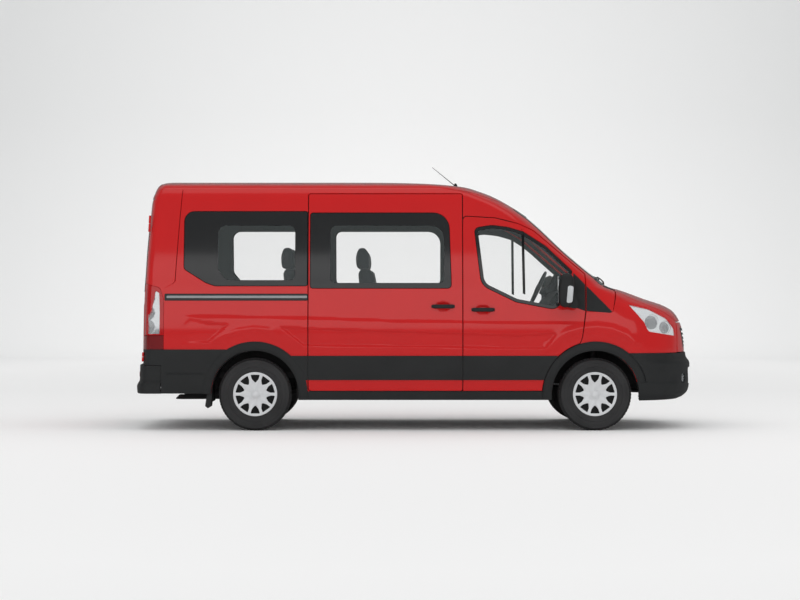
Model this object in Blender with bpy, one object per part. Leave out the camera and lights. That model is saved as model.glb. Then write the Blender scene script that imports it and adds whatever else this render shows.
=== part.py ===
"""Minibus with a medium roof, a sliding side door and two rear doors, in metres.

+X points forwards, +Y to the left and +Z up. The origin lies on the ground, below the
middle of the vehicle. Body panels are cut from one master hull, so that neighbours share
its curves and their shut lines match.
"""
import math

import bmesh
import bpy
from mathutils import Matrix, Vector

# Overall layout
WHEELBASE = 3.300
FRONT_OVERHANG = 1.023
REAR_OVERHANG = 1.208
FRONT_TRACK = 1.736
REAR_TRACK = 1.759
FRONT_TIP = (WHEELBASE + FRONT_OVERHANG + REAR_OVERHANG) / 2
REAR_TIP = FRONT_TIP - WHEELBASE - FRONT_OVERHANG - REAR_OVERHANG
FRONT_AXLE = FRONT_TIP - FRONT_OVERHANG
REAR_AXLE = REAR_TIP + REAR_OVERHANG

# Fits
FIT = 0.0003
SHUT_GAP = 0.0075
WALL = 0.060
THIN_WALL = 0.034
SKIN = 0.010
BONNET_STEP = 0.024
GLASS = 0.006
CLADDING = 0.012

# Tyres and wheels
TYRE_RADIUS = 0.352
TYRE_WIDTH = 0.235
RIM_RADIUS = 0.216
RIM_WIDTH = 0.178
ARCH_RADIUS = 0.425
FLARE_RADIUS = 0.510
LINER_RADIUS = 0.462
KINGPIN_Y = FRONT_TRACK / 2 - 0.168

# Body hull, one row per height: height, distance in from the rear tip, distance back from
# the front tip, half width, length of the rounded front in plan
HULL_ROWS = (
    (0.270, 0.066, 0.086, 0.975, 0.80),
    (0.450, 0.066, 0.066, 1.005, 0.80),
    (0.620, 0.066, 0.056, 1.022, 0.80),
    (0.780, 0.066, 0.056, 1.029, 0.80),
    (0.930, 0.067, 0.066, 1.029, 0.80),
    (1.060, 0.069, 0.106, 1.024, 0.79),
    (1.145, 0.070, 0.166, 1.018, 0.78),
    (1.205, 0.071, 0.266, 1.013, 0.74),
    (1.270, 0.072, 0.456, 1.008, 0.62),
    (1.325, 0.074, 0.606, 1.003, 0.50),
    (1.365, 0.076, 0.726, 1.000, 0.40),
    (1.400, 0.078, 0.836, 0.996, 0.32),
    (1.490, 0.084, 0.951, 0.985, 0.29),
    (1.735, 0.098, 1.246, 0.957, 0.28),
    (2.025, 0.121, 1.556, 0.915, 0.28),
    (2.130, 0.130, 1.690, 0.898, 0.30),
    (2.215, 0.138, 1.826, 0.882, 0.32),
    (2.270, 0.149, 1.921, 0.866, 0.36),
    (2.315, 0.166, 2.016, 0.845, 0.38),
    (2.350, 0.178, 2.111, 0.815, 0.40),
    (2.385, 0.193, 2.216, 0.760, 0.42),
    (2.405, 0.203, 2.346, 0.680, 0.46),
    (2.420, 0.216, 2.466, 0.560, 0.50),
    (2.435, 0.236, 2.696, 0.400, 0.50),
    (2.445, 0.266, 2.966, 0.240, 0.50),
    (2.450, 0.316, 3.266, 0.080, 0.50),
)
# Bumper hull, with the same columns
BUMPER_ROWS = (
    (0.273, 0.110, 0.160, 0.972, 0.80),
    (0.310, 0.030, 0.070, 0.985, 0.80),
    (0.370, 0.008, 0.016, 0.999, 0.80),
    (0.480, 0.000, 0.000, 1.012, 0.80),
    (0.640, 0.000, 0.000, 1.030, 0.80),
    (0.700, 0.012, 0.034, 1.034, 0.80),
    (0.790, 0.030, 0.054, 1.036, 0.80),
)
REAR_ROUND = 0.14
ROUND_POWER = 2.5
FRONT_ANGLES = (0, 12, 25, 38, 52, 68, 90)
REAR_ANGLES = (90, 62, 40, 22, 0)
HULL_FOOT = 0.20

# Panel lines on the side, as length and height. Lengths in front of the sliding door's
# rear edge are counted from the front axle, the others from the rear axle or rear tip.
SIDE_IN, SIDE_OUT = 0.62, 1.30
ROOF_HALF = 0.800
ROOF_REAR_EDGE = 2.262
SCREEN_TOP = 2.165
SCREEN_BOTTOM = 1.412
HEADER_BOTTOM = SCREEN_TOP - 0.060
SCUTTLE_HALF = ROOF_HALF - 0.015
SCREEN_HALF = (ROOF_HALF, ROOF_HALF - 0.110)
SCREEN_REAR = 0.55
HEADER_X = (FRONT_AXLE - 1.20, FRONT_AXLE - 1.00)
ABOVE = 2.70
SILL_BOTTOM = 0.300
DOOR_BOTTOM = 0.385
MOULDING = (0.490, 0.725)
QUARTER_TOP = 0.786
QUARTER_BOTTOM = 0.360
DOOR_REAR = FRONT_AXLE - 1.2815
SLIDING_LENGTH = 1.500
SLIDING_REAR = DOOR_REAR - SLIDING_LENGTH
SLIDING_TOP = 2.300
BUMPER_SPLIT = REAR_TIP + 0.300
BUMPER_TOP = 0.750
BUMPER_SIDE = 0.467
NOSE_TOP = 1.042
NOSE_REAR = FRONT_AXLE + 0.832
BONNET_REAR = FRONT_AXLE + 0.2125
REAR_DOOR_BOTTOM = 0.660
REAR_DOOR_TOP = 2.250
REAR_DOOR_HALF = (0.905, 0.800)
REAR_SPLIT = 0.010
REAR_DOOR_DEPTH = (REAR_TIP - 0.20, REAR_TIP + 0.26)
REAR_BUMPER = (0.355, 0.6337)
SCUTTLE_REAR = FRONT_AXLE - 0.10
SCUTTLE_BOTTOM = 1.30
ARCH_Z = TYRE_RADIUS

# Slide rail, hinges, handles and mudflaps
RAIL_Y = 0.960
RAIL_HEIGHTS = (1.262, 1.325)
FRONT_HINGE_X = FRONT_AXLE - 0.1975
FRONT_HINGE_Y = 1.035
REAR_HINGE = (REAR_TIP + 0.1145, 0.945, REAR_DOOR_BOTTOM)
REAR_LEAN = (0.044, -0.053)
REAR_HINGE_HEIGHTS = ((0.668, 0.758), (1.930, 2.090))
HINGE_RADIUS = 0.0115
DOOR_HINGE_HEIGHTS = (1.165, 1.320)
HINGE_ARM_Y = (0.835, 0.865)
HUB_HALF = 0.028
FRONT_HANDLE = (DOOR_REAR + 0.076, DOOR_REAR + 0.309, 1.172)
SLIDING_HANDLE = (DOOR_REAR - 0.312, DOOR_REAR - 0.079, 1.204)
HANDLE_HEIGHT = 0.042
HANDLE_OUT = 1.044
MUDFLAP_X = (REAR_AXLE - 0.475, REAR_AXLE - 0.455)
MUDFLAP_Y = (0.800, 0.965)
MUDFLAP_BOTTOM = 0.214
BONNET_HINGE = (BONNET_REAR - 0.003, 0.0, 1.395)

# Grilles, each as half widths above and below, top, bottom and corner radii
GRILLE = (0.560, 0.480, 0.990, 0.800, 0.03, 0.05)
GRILLE_SLOTS = (0.825, 0.860, 0.895, 0.930)
GRILLE_SLOT = (0.455, 0.020)
LOWER_GRILLE = (0.520, 0.460, 0.600, 0.430, 0.03, 0.04)

# Floor, frame and running gear
FLOOR = (0.560, 0.600)
FLOOR_HALF = 0.890
FRAME_Y = (0.450, 0.520)
FRAME_Z = (0.440, FLOOR[0] - FIT)
BULKHEAD_X = (FRONT_AXLE - 0.0825, FRONT_AXLE - 0.0525)
WELL_Y = 0.540
REAR_WELL_Y = REAR_TRACK / 2 - 0.1895
LINER = 0.016
WHEEL_FACE = 0.035
WHEEL_SEGMENTS = 26
STEER_AXIS = Vector((0.906, 0.0, -0.423)).normalized()
STEER_CENTRE = Vector((FRONT_AXLE - 0.4625, 0.450, 1.380))

# Frame and running gear
FRAME_BEAMS = (REAR_TIP + 0.25, REAR_AXLE - 0.46, REAR_AXLE + 0.60, FRONT_AXLE - 1.35)
SILL_ARMS = (REAR_AXLE + 0.75, DOOR_REAR - 0.73, FRONT_AXLE - 0.70)
NOSE_BEAM = (0.190, 0.620, 0.470, 0.530)
BULKHEAD_HALF = 0.745
BULKHEAD_TOP = SCUTTLE_BOTTOM - FIT
FRONT_WELL_OUT = 0.870
BONNET_ARM_Y = (0.655, 0.680)
SUBFRAME_Z = (0.240, 0.300)
SUBFRAME_HALF = 0.440
ENGINE_HALF = 0.360
ENGINE_TOP = 1.000
SPINDLE_RADIUS = 0.035
LEAF_REACH = (0.30, 0.58, 0.62)
LEAF_HEIGHTS = (0.330, 0.362, 0.390, 0.410)
TANK_X = (DOOR_REAR - 0.55, DOOR_REAR + 0.28)
TANK_Y = (0.560, 0.840)
TANK_BOTTOM = 0.340
PIPE_Y = -0.280
PIPE_Z = 0.440
SPARE_CENTRE = (REAR_AXLE - 0.46, 0.0, 0.3997)

# Cabin, seats, mirrors and aerial
DASH_HALF = 0.740
WHEEL_RING = (0.190, 0.013)
FRONT_SEATS = FRONT_AXLE - 1.2025
SEAT_ROWS = (DOOR_REAR - 0.841, DOOR_REAR - 1.581)
SEAT_BASE = 0.960
MIRROR_Y = (1.075, 1.237)
AERIAL_FOOT = (FRONT_AXLE - 1.330, 0.0, 2.400)
AERIAL_REACH = (-0.238, 0.0, 0.216)


def mesh_from(vertices, faces):
    """One closed mesh, its faces turned outwards."""
    mesh = bpy.data.meshes.new("shape")
    mesh.from_pydata(vertices, [], faces)
    shape = bmesh.new()
    shape.from_mesh(mesh)
    bmesh.ops.remove_doubles(shape, verts=shape.verts, dist=1e-6)
    loose = [edge for edge in shape.edges if not edge.link_faces]
    bmesh.ops.delete(shape, geom=loose, context="EDGES")
    bmesh.ops.recalc_face_normals(shape, faces=shape.faces)
    shape.to_mesh(mesh)
    shape.free()
    return mesh


def hull_ring(row, front_angles, rear_angles):
    """Plan outline of the hull at one height, anticlockwise from the middle of the front."""
    height, rear_in, front_in, half, nose = row
    front = FRONT_TIP - front_in
    rear = REAR_TIP + rear_in
    half_ring = []
    for base, length, angles in (
        (front - nose, nose, front_angles),
        (rear + REAR_ROUND, -REAR_ROUND, rear_angles),
    ):
        for angle in angles:
            turn = math.radians(angle)
            forward = abs(math.cos(turn)) ** (2 / ROUND_POWER) if angle < 90 else 0.0
            across = math.sin(turn) ** (2 / ROUND_POWER) if angle > 0 else 0.0
            half_ring.append((base + length * forward, half * across))
    other_half = [(x, -y) for x, y in reversed(half_ring[1:-1])]
    return [Vector((x, y, height)) for x, y in half_ring + other_half]


def hull_mesh(rows, grow=0.0, foot=None, step=1):
    """The hull through the rows, its surface moved out by `grow`, or in where negative.
    A foot lengthens it straight down, and a step of 2 takes every other row and angle.
    The right half's diagonals mirror the left's, so that mirrored panels fit."""
    rows = rows[:-1:step] + rows[-1:]
    rings = [hull_ring(row, FRONT_ANGLES[::step], REAR_ANGLES[::step]) for row in rows]
    count = len(rings[0])
    levels = []
    for index, ring in enumerate(rings):
        low = rings[max(index - 1, 0)]
        high = rings[min(index + 1, len(rings) - 1)]
        level = []
        for turn, point in enumerate(ring):
            around = ring[(turn + 1) % count] - ring[turn - 1]
            normal = around.cross(high[turn] - low[turn]).normalized()
            level.append(point + grow * normal)
        levels.append(level)
    if foot is not None:
        levels.insert(0, [Vector((point.x, point.y, foot)) for point in levels[0]])
    vertices = [tuple(point) for level in levels for point in level]
    faces = [tuple(range(count)), tuple(range(len(vertices) - count, len(vertices)))]
    for level in range(len(levels) - 1):
        for turn in range(count):
            following = (turn + 1) % count
            near, far = level * count + turn, level * count + following
            if turn >= count // 2:
                near, far = far, near
            faces.append((near, far, far + count))
            faces.append((near, far + count, near + count))
    return mesh_from(vertices, faces)


def prism(outline, axis, low, high):
    """A flat outline pushed along an axis from low to high: its own points lie in the
    other two axes, in the order x, y, z."""
    first, second = [index for index in range(3) if index != axis]
    vertices = []
    for level in (low, high):
        for a, b in outline:
            point = [0.0, 0.0, 0.0]
            point[first], point[second], point[axis] = a, b, level
            vertices.append(tuple(point))
    count = len(outline)
    faces = [tuple(range(count)), tuple(range(count, 2 * count))]
    for turn in range(count):
        following = (turn + 1) % count
        faces.append((turn, following, count + following, count + turn))
    return mesh_from(vertices, faces)


def box(x, y, z):
    """A box from three pairs of limits."""
    return prism(((x[0], z[0]), (x[1], z[0]), (x[1], z[1]), (x[0], z[1])), 1, y[0], y[1])


def cylinder(centre, radius, axis, length, segments=20):
    """A cylinder about its centre, along one axis."""
    first, second = [centre[index] for index in range(3) if index != axis]
    outline = circle(first, second, radius, segments)
    return prism(outline, axis, centre[axis] - length / 2, centre[axis] + length / 2)


def rod(start, end, radius, segments=8):
    """A round rod between two points."""
    run = Vector(end) - Vector(start)
    shape = cylinder((0.0, 0.0, run.length / 2), radius, 2, run.length, segments)
    shape.transform(Vector((0, 0, 1)).rotation_difference(run).to_matrix().to_4x4())
    shape.transform(Matrix.Translation(start))
    return shape


def turned(profile, y, x=0.0, z=0.0, segments=36):
    """A profile of radius and distance outboard, turned about a line along Y."""
    vertices = []
    for step in range(segments):
        turn = math.tau * (step + 0.5) / segments - math.pi / 2
        for radius, along in profile:
            vertices.append((x + radius * math.cos(turn), y + along, z + radius * math.sin(turn)))
    count = len(profile)
    faces = []
    for step in range(segments):
        near, far = step * count, (step + 1) % segments * count
        for index in range(count):
            following = (index + 1) % count
            faces.append((near + index, near + following, far + following, far + index))
    return mesh_from(vertices, faces)


def mirrored(mesh):
    """The same shape on the other side of the vehicle."""
    copy = mesh.copy()
    copy.transform(Matrix.Scale(-1, 4, (0, 1, 0)))
    copy.flip_normals()
    return copy


def moved(mesh, x=0.0, y=0.0, z=0.0):
    """A copy of the shape, shifted."""
    copy = mesh.copy()
    copy.transform(Matrix.Translation((x, y, z)))
    return copy


def combine(first, second, operation):
    """Exact Boolean of two closed meshes."""
    operands = []
    for mesh in (first, second):
        operand = bpy.data.objects.new("operand", mesh)
        bpy.context.scene.collection.objects.link(operand)
        operands.append(operand)
    modifier = operands[0].modifiers.new("combine", "BOOLEAN")
    modifier.operation = operation
    modifier.object = operands[1]
    modifier.solver = "EXACT"
    depsgraph = bpy.context.evaluated_depsgraph_get()
    result = bpy.data.meshes.new_from_object(operands[0].evaluated_get(depsgraph))
    for operand in operands:
        bpy.data.objects.remove(operand)
    return result


def common(first, *others):
    for other in others:
        first = combine(first, other, "INTERSECT")
    return first


def cut(first, *others):
    for other in others:
        first = combine(first, other, "DIFFERENCE")
    return first


def union(first, *others):
    for other in others:
        first = combine(first, other, "UNION")
    return first


def arc(centre_a, centre_b, radius, start, end, segments):
    """Points along an arc, its angles in degrees."""
    points = []
    for step in range(segments + 1):
        turn = math.radians(start + (end - start) * step / segments)
        points.append((centre_a + radius * math.cos(turn), centre_b + radius * math.sin(turn)))
    return points


def circle(centre_a, centre_b, radius, segments):
    return arc(centre_a, centre_b, radius, 0, 360 * (segments - 1) / segments, segments - 1)


def rounded(corners, segments=2):
    """Corner rows of two coordinates and a radius, as an outline with round corners."""
    outline = []
    for index, (a, b, radius) in enumerate(corners):
        if radius == 0:
            outline.append((a, b))
            continue
        here = Vector((a, b))
        before = (Vector(corners[index - 1][:2]) - here).normalized()
        after = (Vector(corners[(index + 1) % len(corners)][:2]) - here).normalized()
        half = before.angle(after) / 2
        centre = here + (before + after).normalized() * radius / math.sin(half)
        start = here + before * radius / math.tan(half) - centre
        end = here + after * radius / math.tan(half) - centre
        first = math.degrees(math.atan2(start.y, start.x))
        last = math.degrees(math.atan2(end.y, end.x))
        sweep = (last - first + 180) % 360 - 180
        outline.extend(arc(centre.x, centre.y, radius, first, first + sweep, segments))
    return outline


def grown(outline, distance):
    """An outline moved outwards all round, with mitred corners."""
    count = len(outline)
    area = sum(
        outline[index - 1][0] * outline[index][1] - outline[index][0] * outline[index - 1][1]
        for index in range(count)
    )
    outwards = distance if area > 0 else -distance
    result = []
    for index in range(count):
        here = Vector(outline[index])
        before = (here - Vector(outline[index - 1])).normalized()
        after = (Vector(outline[(index + 1) % count]) - here).normalized()
        normal_before = Vector((before.y, -before.x))
        normal_after = Vector((after.y, -after.x))
        both = (normal_before + normal_after) / (1 + normal_before.dot(normal_after))
        result.append(tuple(here + outwards * both))
    return result


# Finishes: colour, roughness, metallic
FINISHES = {
    "paint": ((0.60, 0.010, 0.012), 0.25, 0.0),
    "black_plastic": ((0.020, 0.021, 0.022), 0.60, 0.0),
    "glass": ((0.030, 0.032, 0.035), 0.08, 0.0),
    "lamp": ((0.75, 0.76, 0.78), 0.12, 0.0),
    "tail_lamp": ((0.45, 0.02, 0.02), 0.15, 0.0),
    "tyre": ((0.030, 0.030, 0.031), 0.85, 0.0),
    "cover": ((0.70, 0.71, 0.72), 0.32, 0.6),
    "steel": ((0.11, 0.11, 0.12), 0.55, 0.8),
    "casting": ((0.22, 0.22, 0.23), 0.60, 0.7),
    "trim": ((0.060, 0.062, 0.066), 0.75, 0.0),
    "fabric": ((0.050, 0.052, 0.060), 0.95, 0.0),
}


def node(name, mesh, finish, origin=(0.0, 0.0, 0.0)):
    """One named object with its own material, its origin on its joint's axis."""
    colour, roughness, metallic = FINISHES[finish]
    material = bpy.data.materials.new(name)
    material.use_nodes = True
    surface = material.node_tree.nodes["Principled BSDF"]
    surface.inputs["Base Color"].default_value = (*colour, 1.0)
    surface.inputs["Roughness"].default_value = roughness
    surface.inputs["Metallic"].default_value = metallic
    mesh = mesh.copy()
    mesh.materials.clear()
    mesh.materials.append(material)
    mesh.transform(Matrix.Translation(-Vector(origin)))
    mesh.shade_smooth()
    mesh.set_sharp_from_angle(angle=math.radians(30))
    thing = bpy.data.objects.new(name, mesh)
    thing.location = origin
    bpy.context.scene.collection.objects.link(thing)
    return thing


def from_front(rows):
    return [(FRONT_AXLE + row[0], *row[1:]) for row in rows]


def flare_arc(radius, start, end, segments=8):
    """Part of the front flare's edge, its angles counted from the front of the wheel."""
    return arc(FRONT_AXLE, ARCH_Z, radius, start, end, segments)


def front_door_outline():
    lower = flare_arc(FLARE_RADIUS + SHUT_GAP, 107.2, 176.3)
    upper = from_front((
        (-0.2235, 1.626), (-0.0975, 1.519), (-0.0975, 1.163), (-0.1315, 0.903),
    ))
    top = rounded([
        (DOOR_REAR, DOOR_BOTTOM, 0),
        (DOOR_REAR, 2.081, 0.04),
        (FRONT_AXLE - 0.9655, 2.062, 0.20),
        (FRONT_AXLE - 0.7435, 2.006, 0.15),
        (FRONT_AXLE - 0.5955, 1.941, 0.15),
        (*upper[0], 0),
    ])
    return top + upper[1:] + lower


def sliding_door_outline():
    return rounded([
        (SLIDING_REAR, DOOR_BOTTOM, 0.03), (SLIDING_REAR, SLIDING_TOP, 0.05),
        (DOOR_REAR - SHUT_GAP, SLIDING_TOP, 0.05), (DOOR_REAR - SHUT_GAP, DOOR_BOTTOM, 0.02),
    ])


def body_side_outline():
    rear = REAR_TIP - 0.10
    return [
        (rear, 0.634), (BUMPER_SPLIT, 0.634), (BUMPER_SPLIT, QUARTER_BOTTOM),
        (REAR_AXLE - 0.20, QUARTER_BOTTOM), (REAR_AXLE + 0.20, SILL_BOTTOM),
        *from_front((
            (-0.508, SILL_BOTTOM), (-0.530, 0.400), (-0.300, 1.000), (-0.150, 1.152),
            (0.1665, 1.152), (0.2080, 1.300), (0.2080, 1.500), (-0.200, 2.600),
        )),
        (rear, 2.600),
    ]


def flare_angle(height, radius):
    return math.degrees(math.asin((height - ARCH_Z) / radius))


def flare_front(gap):
    """The flare's edge in front of the wheel, from the bumper's side up to its top."""
    radius = FLARE_RADIUS + gap
    low = flare_angle(BUMPER_SIDE - gap, radius)
    high = flare_angle(BUMPER_TOP - gap, radius)
    return flare_arc(radius, low, high, 5)


def fender_outline():
    rear = from_front(((-0.0905, 1.152 - FIT), (-0.0905, 1.145), (-0.1245, 0.903)))
    return [
        *rear, *flare_arc(FLARE_RADIUS - 0.001, 107.0, 176.3),
        *from_front(((-0.508 + FIT, 0.385), (-0.508 + FIT, SILL_BOTTOM), (0.0, SILL_BOTTOM))),
        (FRONT_AXLE + 0.10, BUMPER_SIDE), *flare_front(0.0),
        (NOSE_REAR, BUMPER_TOP), (NOSE_REAR, 1.300), (BONNET_REAR, 1.400),
        *from_front(((0.2080 + FIT, 1.400), (0.2080 + FIT, 1.300), (0.1665, 1.152 - FIT))),
    ]


def front_bumper_outline():
    return [
        (FRONT_AXLE + 0.10, 0.20), (FRONT_TIP + 0.10, 0.20),
        (FRONT_TIP + 0.10, BUMPER_TOP - FIT), *reversed(flare_front(FIT)),
        (FRONT_AXLE + 0.10, BUMPER_SIDE - FIT),
    ]


def headlamp_outline():
    return rounded([
        (FRONT_AXLE + 0.3235, 1.224, 0), (FRONT_AXLE + 0.5275, 1.180, 0.20),
        (FRONT_AXLE + 0.7175, 1.086, 0.10), (FRONT_AXLE + 0.7975, 0.990, 0.05),
        (FRONT_AXLE + 0.8075, 0.915, 0.01), (FRONT_AXLE + 0.5175, 0.960, 0.05),
        (FRONT_AXLE + 0.4775, 1.050, 0.05),
    ])


def tail_lamp_outline():
    rear = REAR_TIP - 0.10
    return [
        (rear, QUARTER_TOP), (REAR_TIP + 0.290, QUARTER_TOP), (REAR_TIP + 0.290, 0.95),
        (REAR_TIP + 0.230, 1.407), (rear, 1.407),
    ]


def bonnet_outline():
    """The bonnet seen from above, length and width, on both sides."""
    half = from_front(((0.2125, 0.800), (0.560, 0.800), (0.720, 0.715), (0.860, 0.580)))
    front = [(FRONT_TIP + 0.05, 0.45)]
    left = half + front
    return left + [(x, -y) for x, y in reversed(left)]


def rear_door_outline():
    """The left rear door seen along the vehicle, width and height."""
    low, high = REAR_DOOR_HALF
    return rounded([
        (REAR_SPLIT / 2, REAR_DOOR_BOTTOM, 0), (low, REAR_DOOR_BOTTOM, 0.03),
        (high, REAR_DOOR_TOP, 0.06), (REAR_SPLIT / 2, REAR_DOOR_TOP, 0),
    ])


# Windows, as outlines with corner radii: the whole pane and the clear part inside it
def mid_window(edge):
    """The pane behind the front door, between two lengths, and its clear part."""
    front = DOOR_REAR - SHUT_GAP
    pane = [
        (SLIDING_REAR + 0.013, 1.377, 0.03), (SLIDING_REAR + 0.013, 2.100, 0.03),
        (front - edge, 2.100, 0.16), (front - edge + 0.024, 1.377, 0.04),
    ]
    clear = [
        (SLIDING_REAR + 0.211, 1.431, 0.05), (SLIDING_REAR + 0.211, 1.990, 0.06),
        (front - edge - 0.049, 1.990, 0.13), (front - edge - 0.049, 1.431, 0.05),
    ]
    return rounded(pane), rounded(clear)


def quarter_window():
    """The rearmost side pane and its clear part."""
    front = SLIDING_REAR - 0.010
    rear = REAR_TIP + 0.5185
    pane = [
        (front, 1.400, 0.02), (front, 2.114, 0.02), (rear, 2.114, 0.10),
        (rear + 0.015, 1.566, 0.05), (rear + 0.230, 1.431, 0.10), (rear + 0.319, 1.400, 0.05),
    ]
    clear = [
        (front - 0.120, 1.458, 0.05), (front - 0.120, 1.990, 0.06),
        (rear + 0.347, 1.990, 0.08), (rear + 0.347, 1.560, 0.08), (rear + 0.430, 1.458, 0.08),
    ]
    return rounded(pane), rounded(clear)


def front_door_window():
    pane = from_front((
        (-1.1515, 1.951, 0.03), (-1.0035, 1.975, 0.20), (-0.8555, 1.957, 0.20),
        (-0.7065, 1.914, 0.15), (-0.4835, 1.774, 0), (-0.2425, 1.542, 0.01),
        (-0.3725, 1.190, 0.08), (-0.7615, 1.264, 0.10), (-1.0865, 1.422, 0.12),
    ))
    clear = rounded(pane)
    return grown(clear, 0.022), grown(clear, -0.012)


def rear_window():
    pane = [
        (0.060, 1.340, 0.05), (0.770, 1.340, 0.08), (0.700, 2.060, 0.10), (0.060, 2.060, 0.05),
    ]
    pane = rounded(pane)
    return pane, grown(pane, -0.050)


def windscreen_outline():
    """The windscreen seen along the vehicle, width and height, on both sides."""
    low, high = SCREEN_HALF
    return rounded([
        (low, SCREEN_BOTTOM, 0.03), (high, SCREEN_TOP, 0.08),
        (-high, SCREEN_TOP, 0.08), (-low, SCREEN_BOTTOM, 0.03),
    ])


class Skins:
    """The layers of the master hull that panels, panes and claddings are cut from."""

    def __init__(self):
        outer = hull_mesh(HULL_ROWS)
        self.space = hull_mesh(HULL_ROWS, -WALL - FIT, HULL_FOOT, 2)
        self.wall = cut(outer, hull_mesh(HULL_ROWS, -WALL, HULL_FOOT, 2))
        self.thin = cut(outer, hull_mesh(HULL_ROWS, -THIN_WALL, HULL_FOOT, 2))
        self.skin = cut(outer, hull_mesh(HULL_ROWS, -SKIN, HULL_FOOT))
        self.pane = cut(outer, hull_mesh(HULL_ROWS, -GLASS, HULL_FOOT))
        self.rebate = cut(
            hull_mesh(HULL_ROWS, 0.03, HULL_FOOT - 0.01),
            hull_mesh(HULL_ROWS, -GLASS - FIT, HULL_FOOT - 0.02),
        )
        self.cladding = cut(
            hull_mesh(HULL_ROWS, CLADDING), hull_mesh(HULL_ROWS, -0.02, HULL_FOOT)
        )
        self.bumper = cut(hull_mesh(BUMPER_ROWS), hull_mesh(BUMPER_ROWS, -WALL, HULL_FOOT))


def side(outline, low=SIDE_IN, high=SIDE_OUT):
    return prism(outline, 1, low, high)


def opening(outline, gap=0.0):
    """A cutter for the side, a little deeper than the panels that it cuts."""
    return prism(grown(outline, gap), 1, SIDE_IN - 0.04, SIDE_OUT + 0.04)


def along(outline, low, high):
    return prism(outline, 0, low, high)


def glazed(panel, skins, window, place):
    """Cuts a window's rebate and clear opening, and returns the panel and its pane."""
    pane, clear = window
    panel = cut(panel, common(skins.rebate, place(pane)), place(clear))
    return panel, common(skins.pane, place(grown(pane, -0.002)))


def cladding_strips(skins):
    """Mouldings along the side, the flares and the rear quarter's cladding."""
    strip = [
        (REAR_AXLE, MOULDING[0]), (FRONT_AXLE, MOULDING[0]),
        (FRONT_AXLE, MOULDING[1]), (REAR_AXLE, MOULDING[1]),
    ]
    quarter = [
        (BUMPER_SPLIT, 0.30), (REAR_AXLE - 0.20, 0.30), (REAR_AXLE - 0.20, QUARTER_TOP),
        (BUMPER_SPLIT, QUARTER_TOP),
    ]
    region = union(
        side(strip, 0.6, 1.25),
        side(circle(REAR_AXLE, ARCH_Z, FLARE_RADIUS, 36), 0.61, 1.26),
        side(circle(FRONT_AXLE, ARCH_Z, FLARE_RADIUS, 36), 0.61, 1.26),
        side(quarter, 0.62, 1.24),
    )
    return common(skins.cladding, region)


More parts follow.
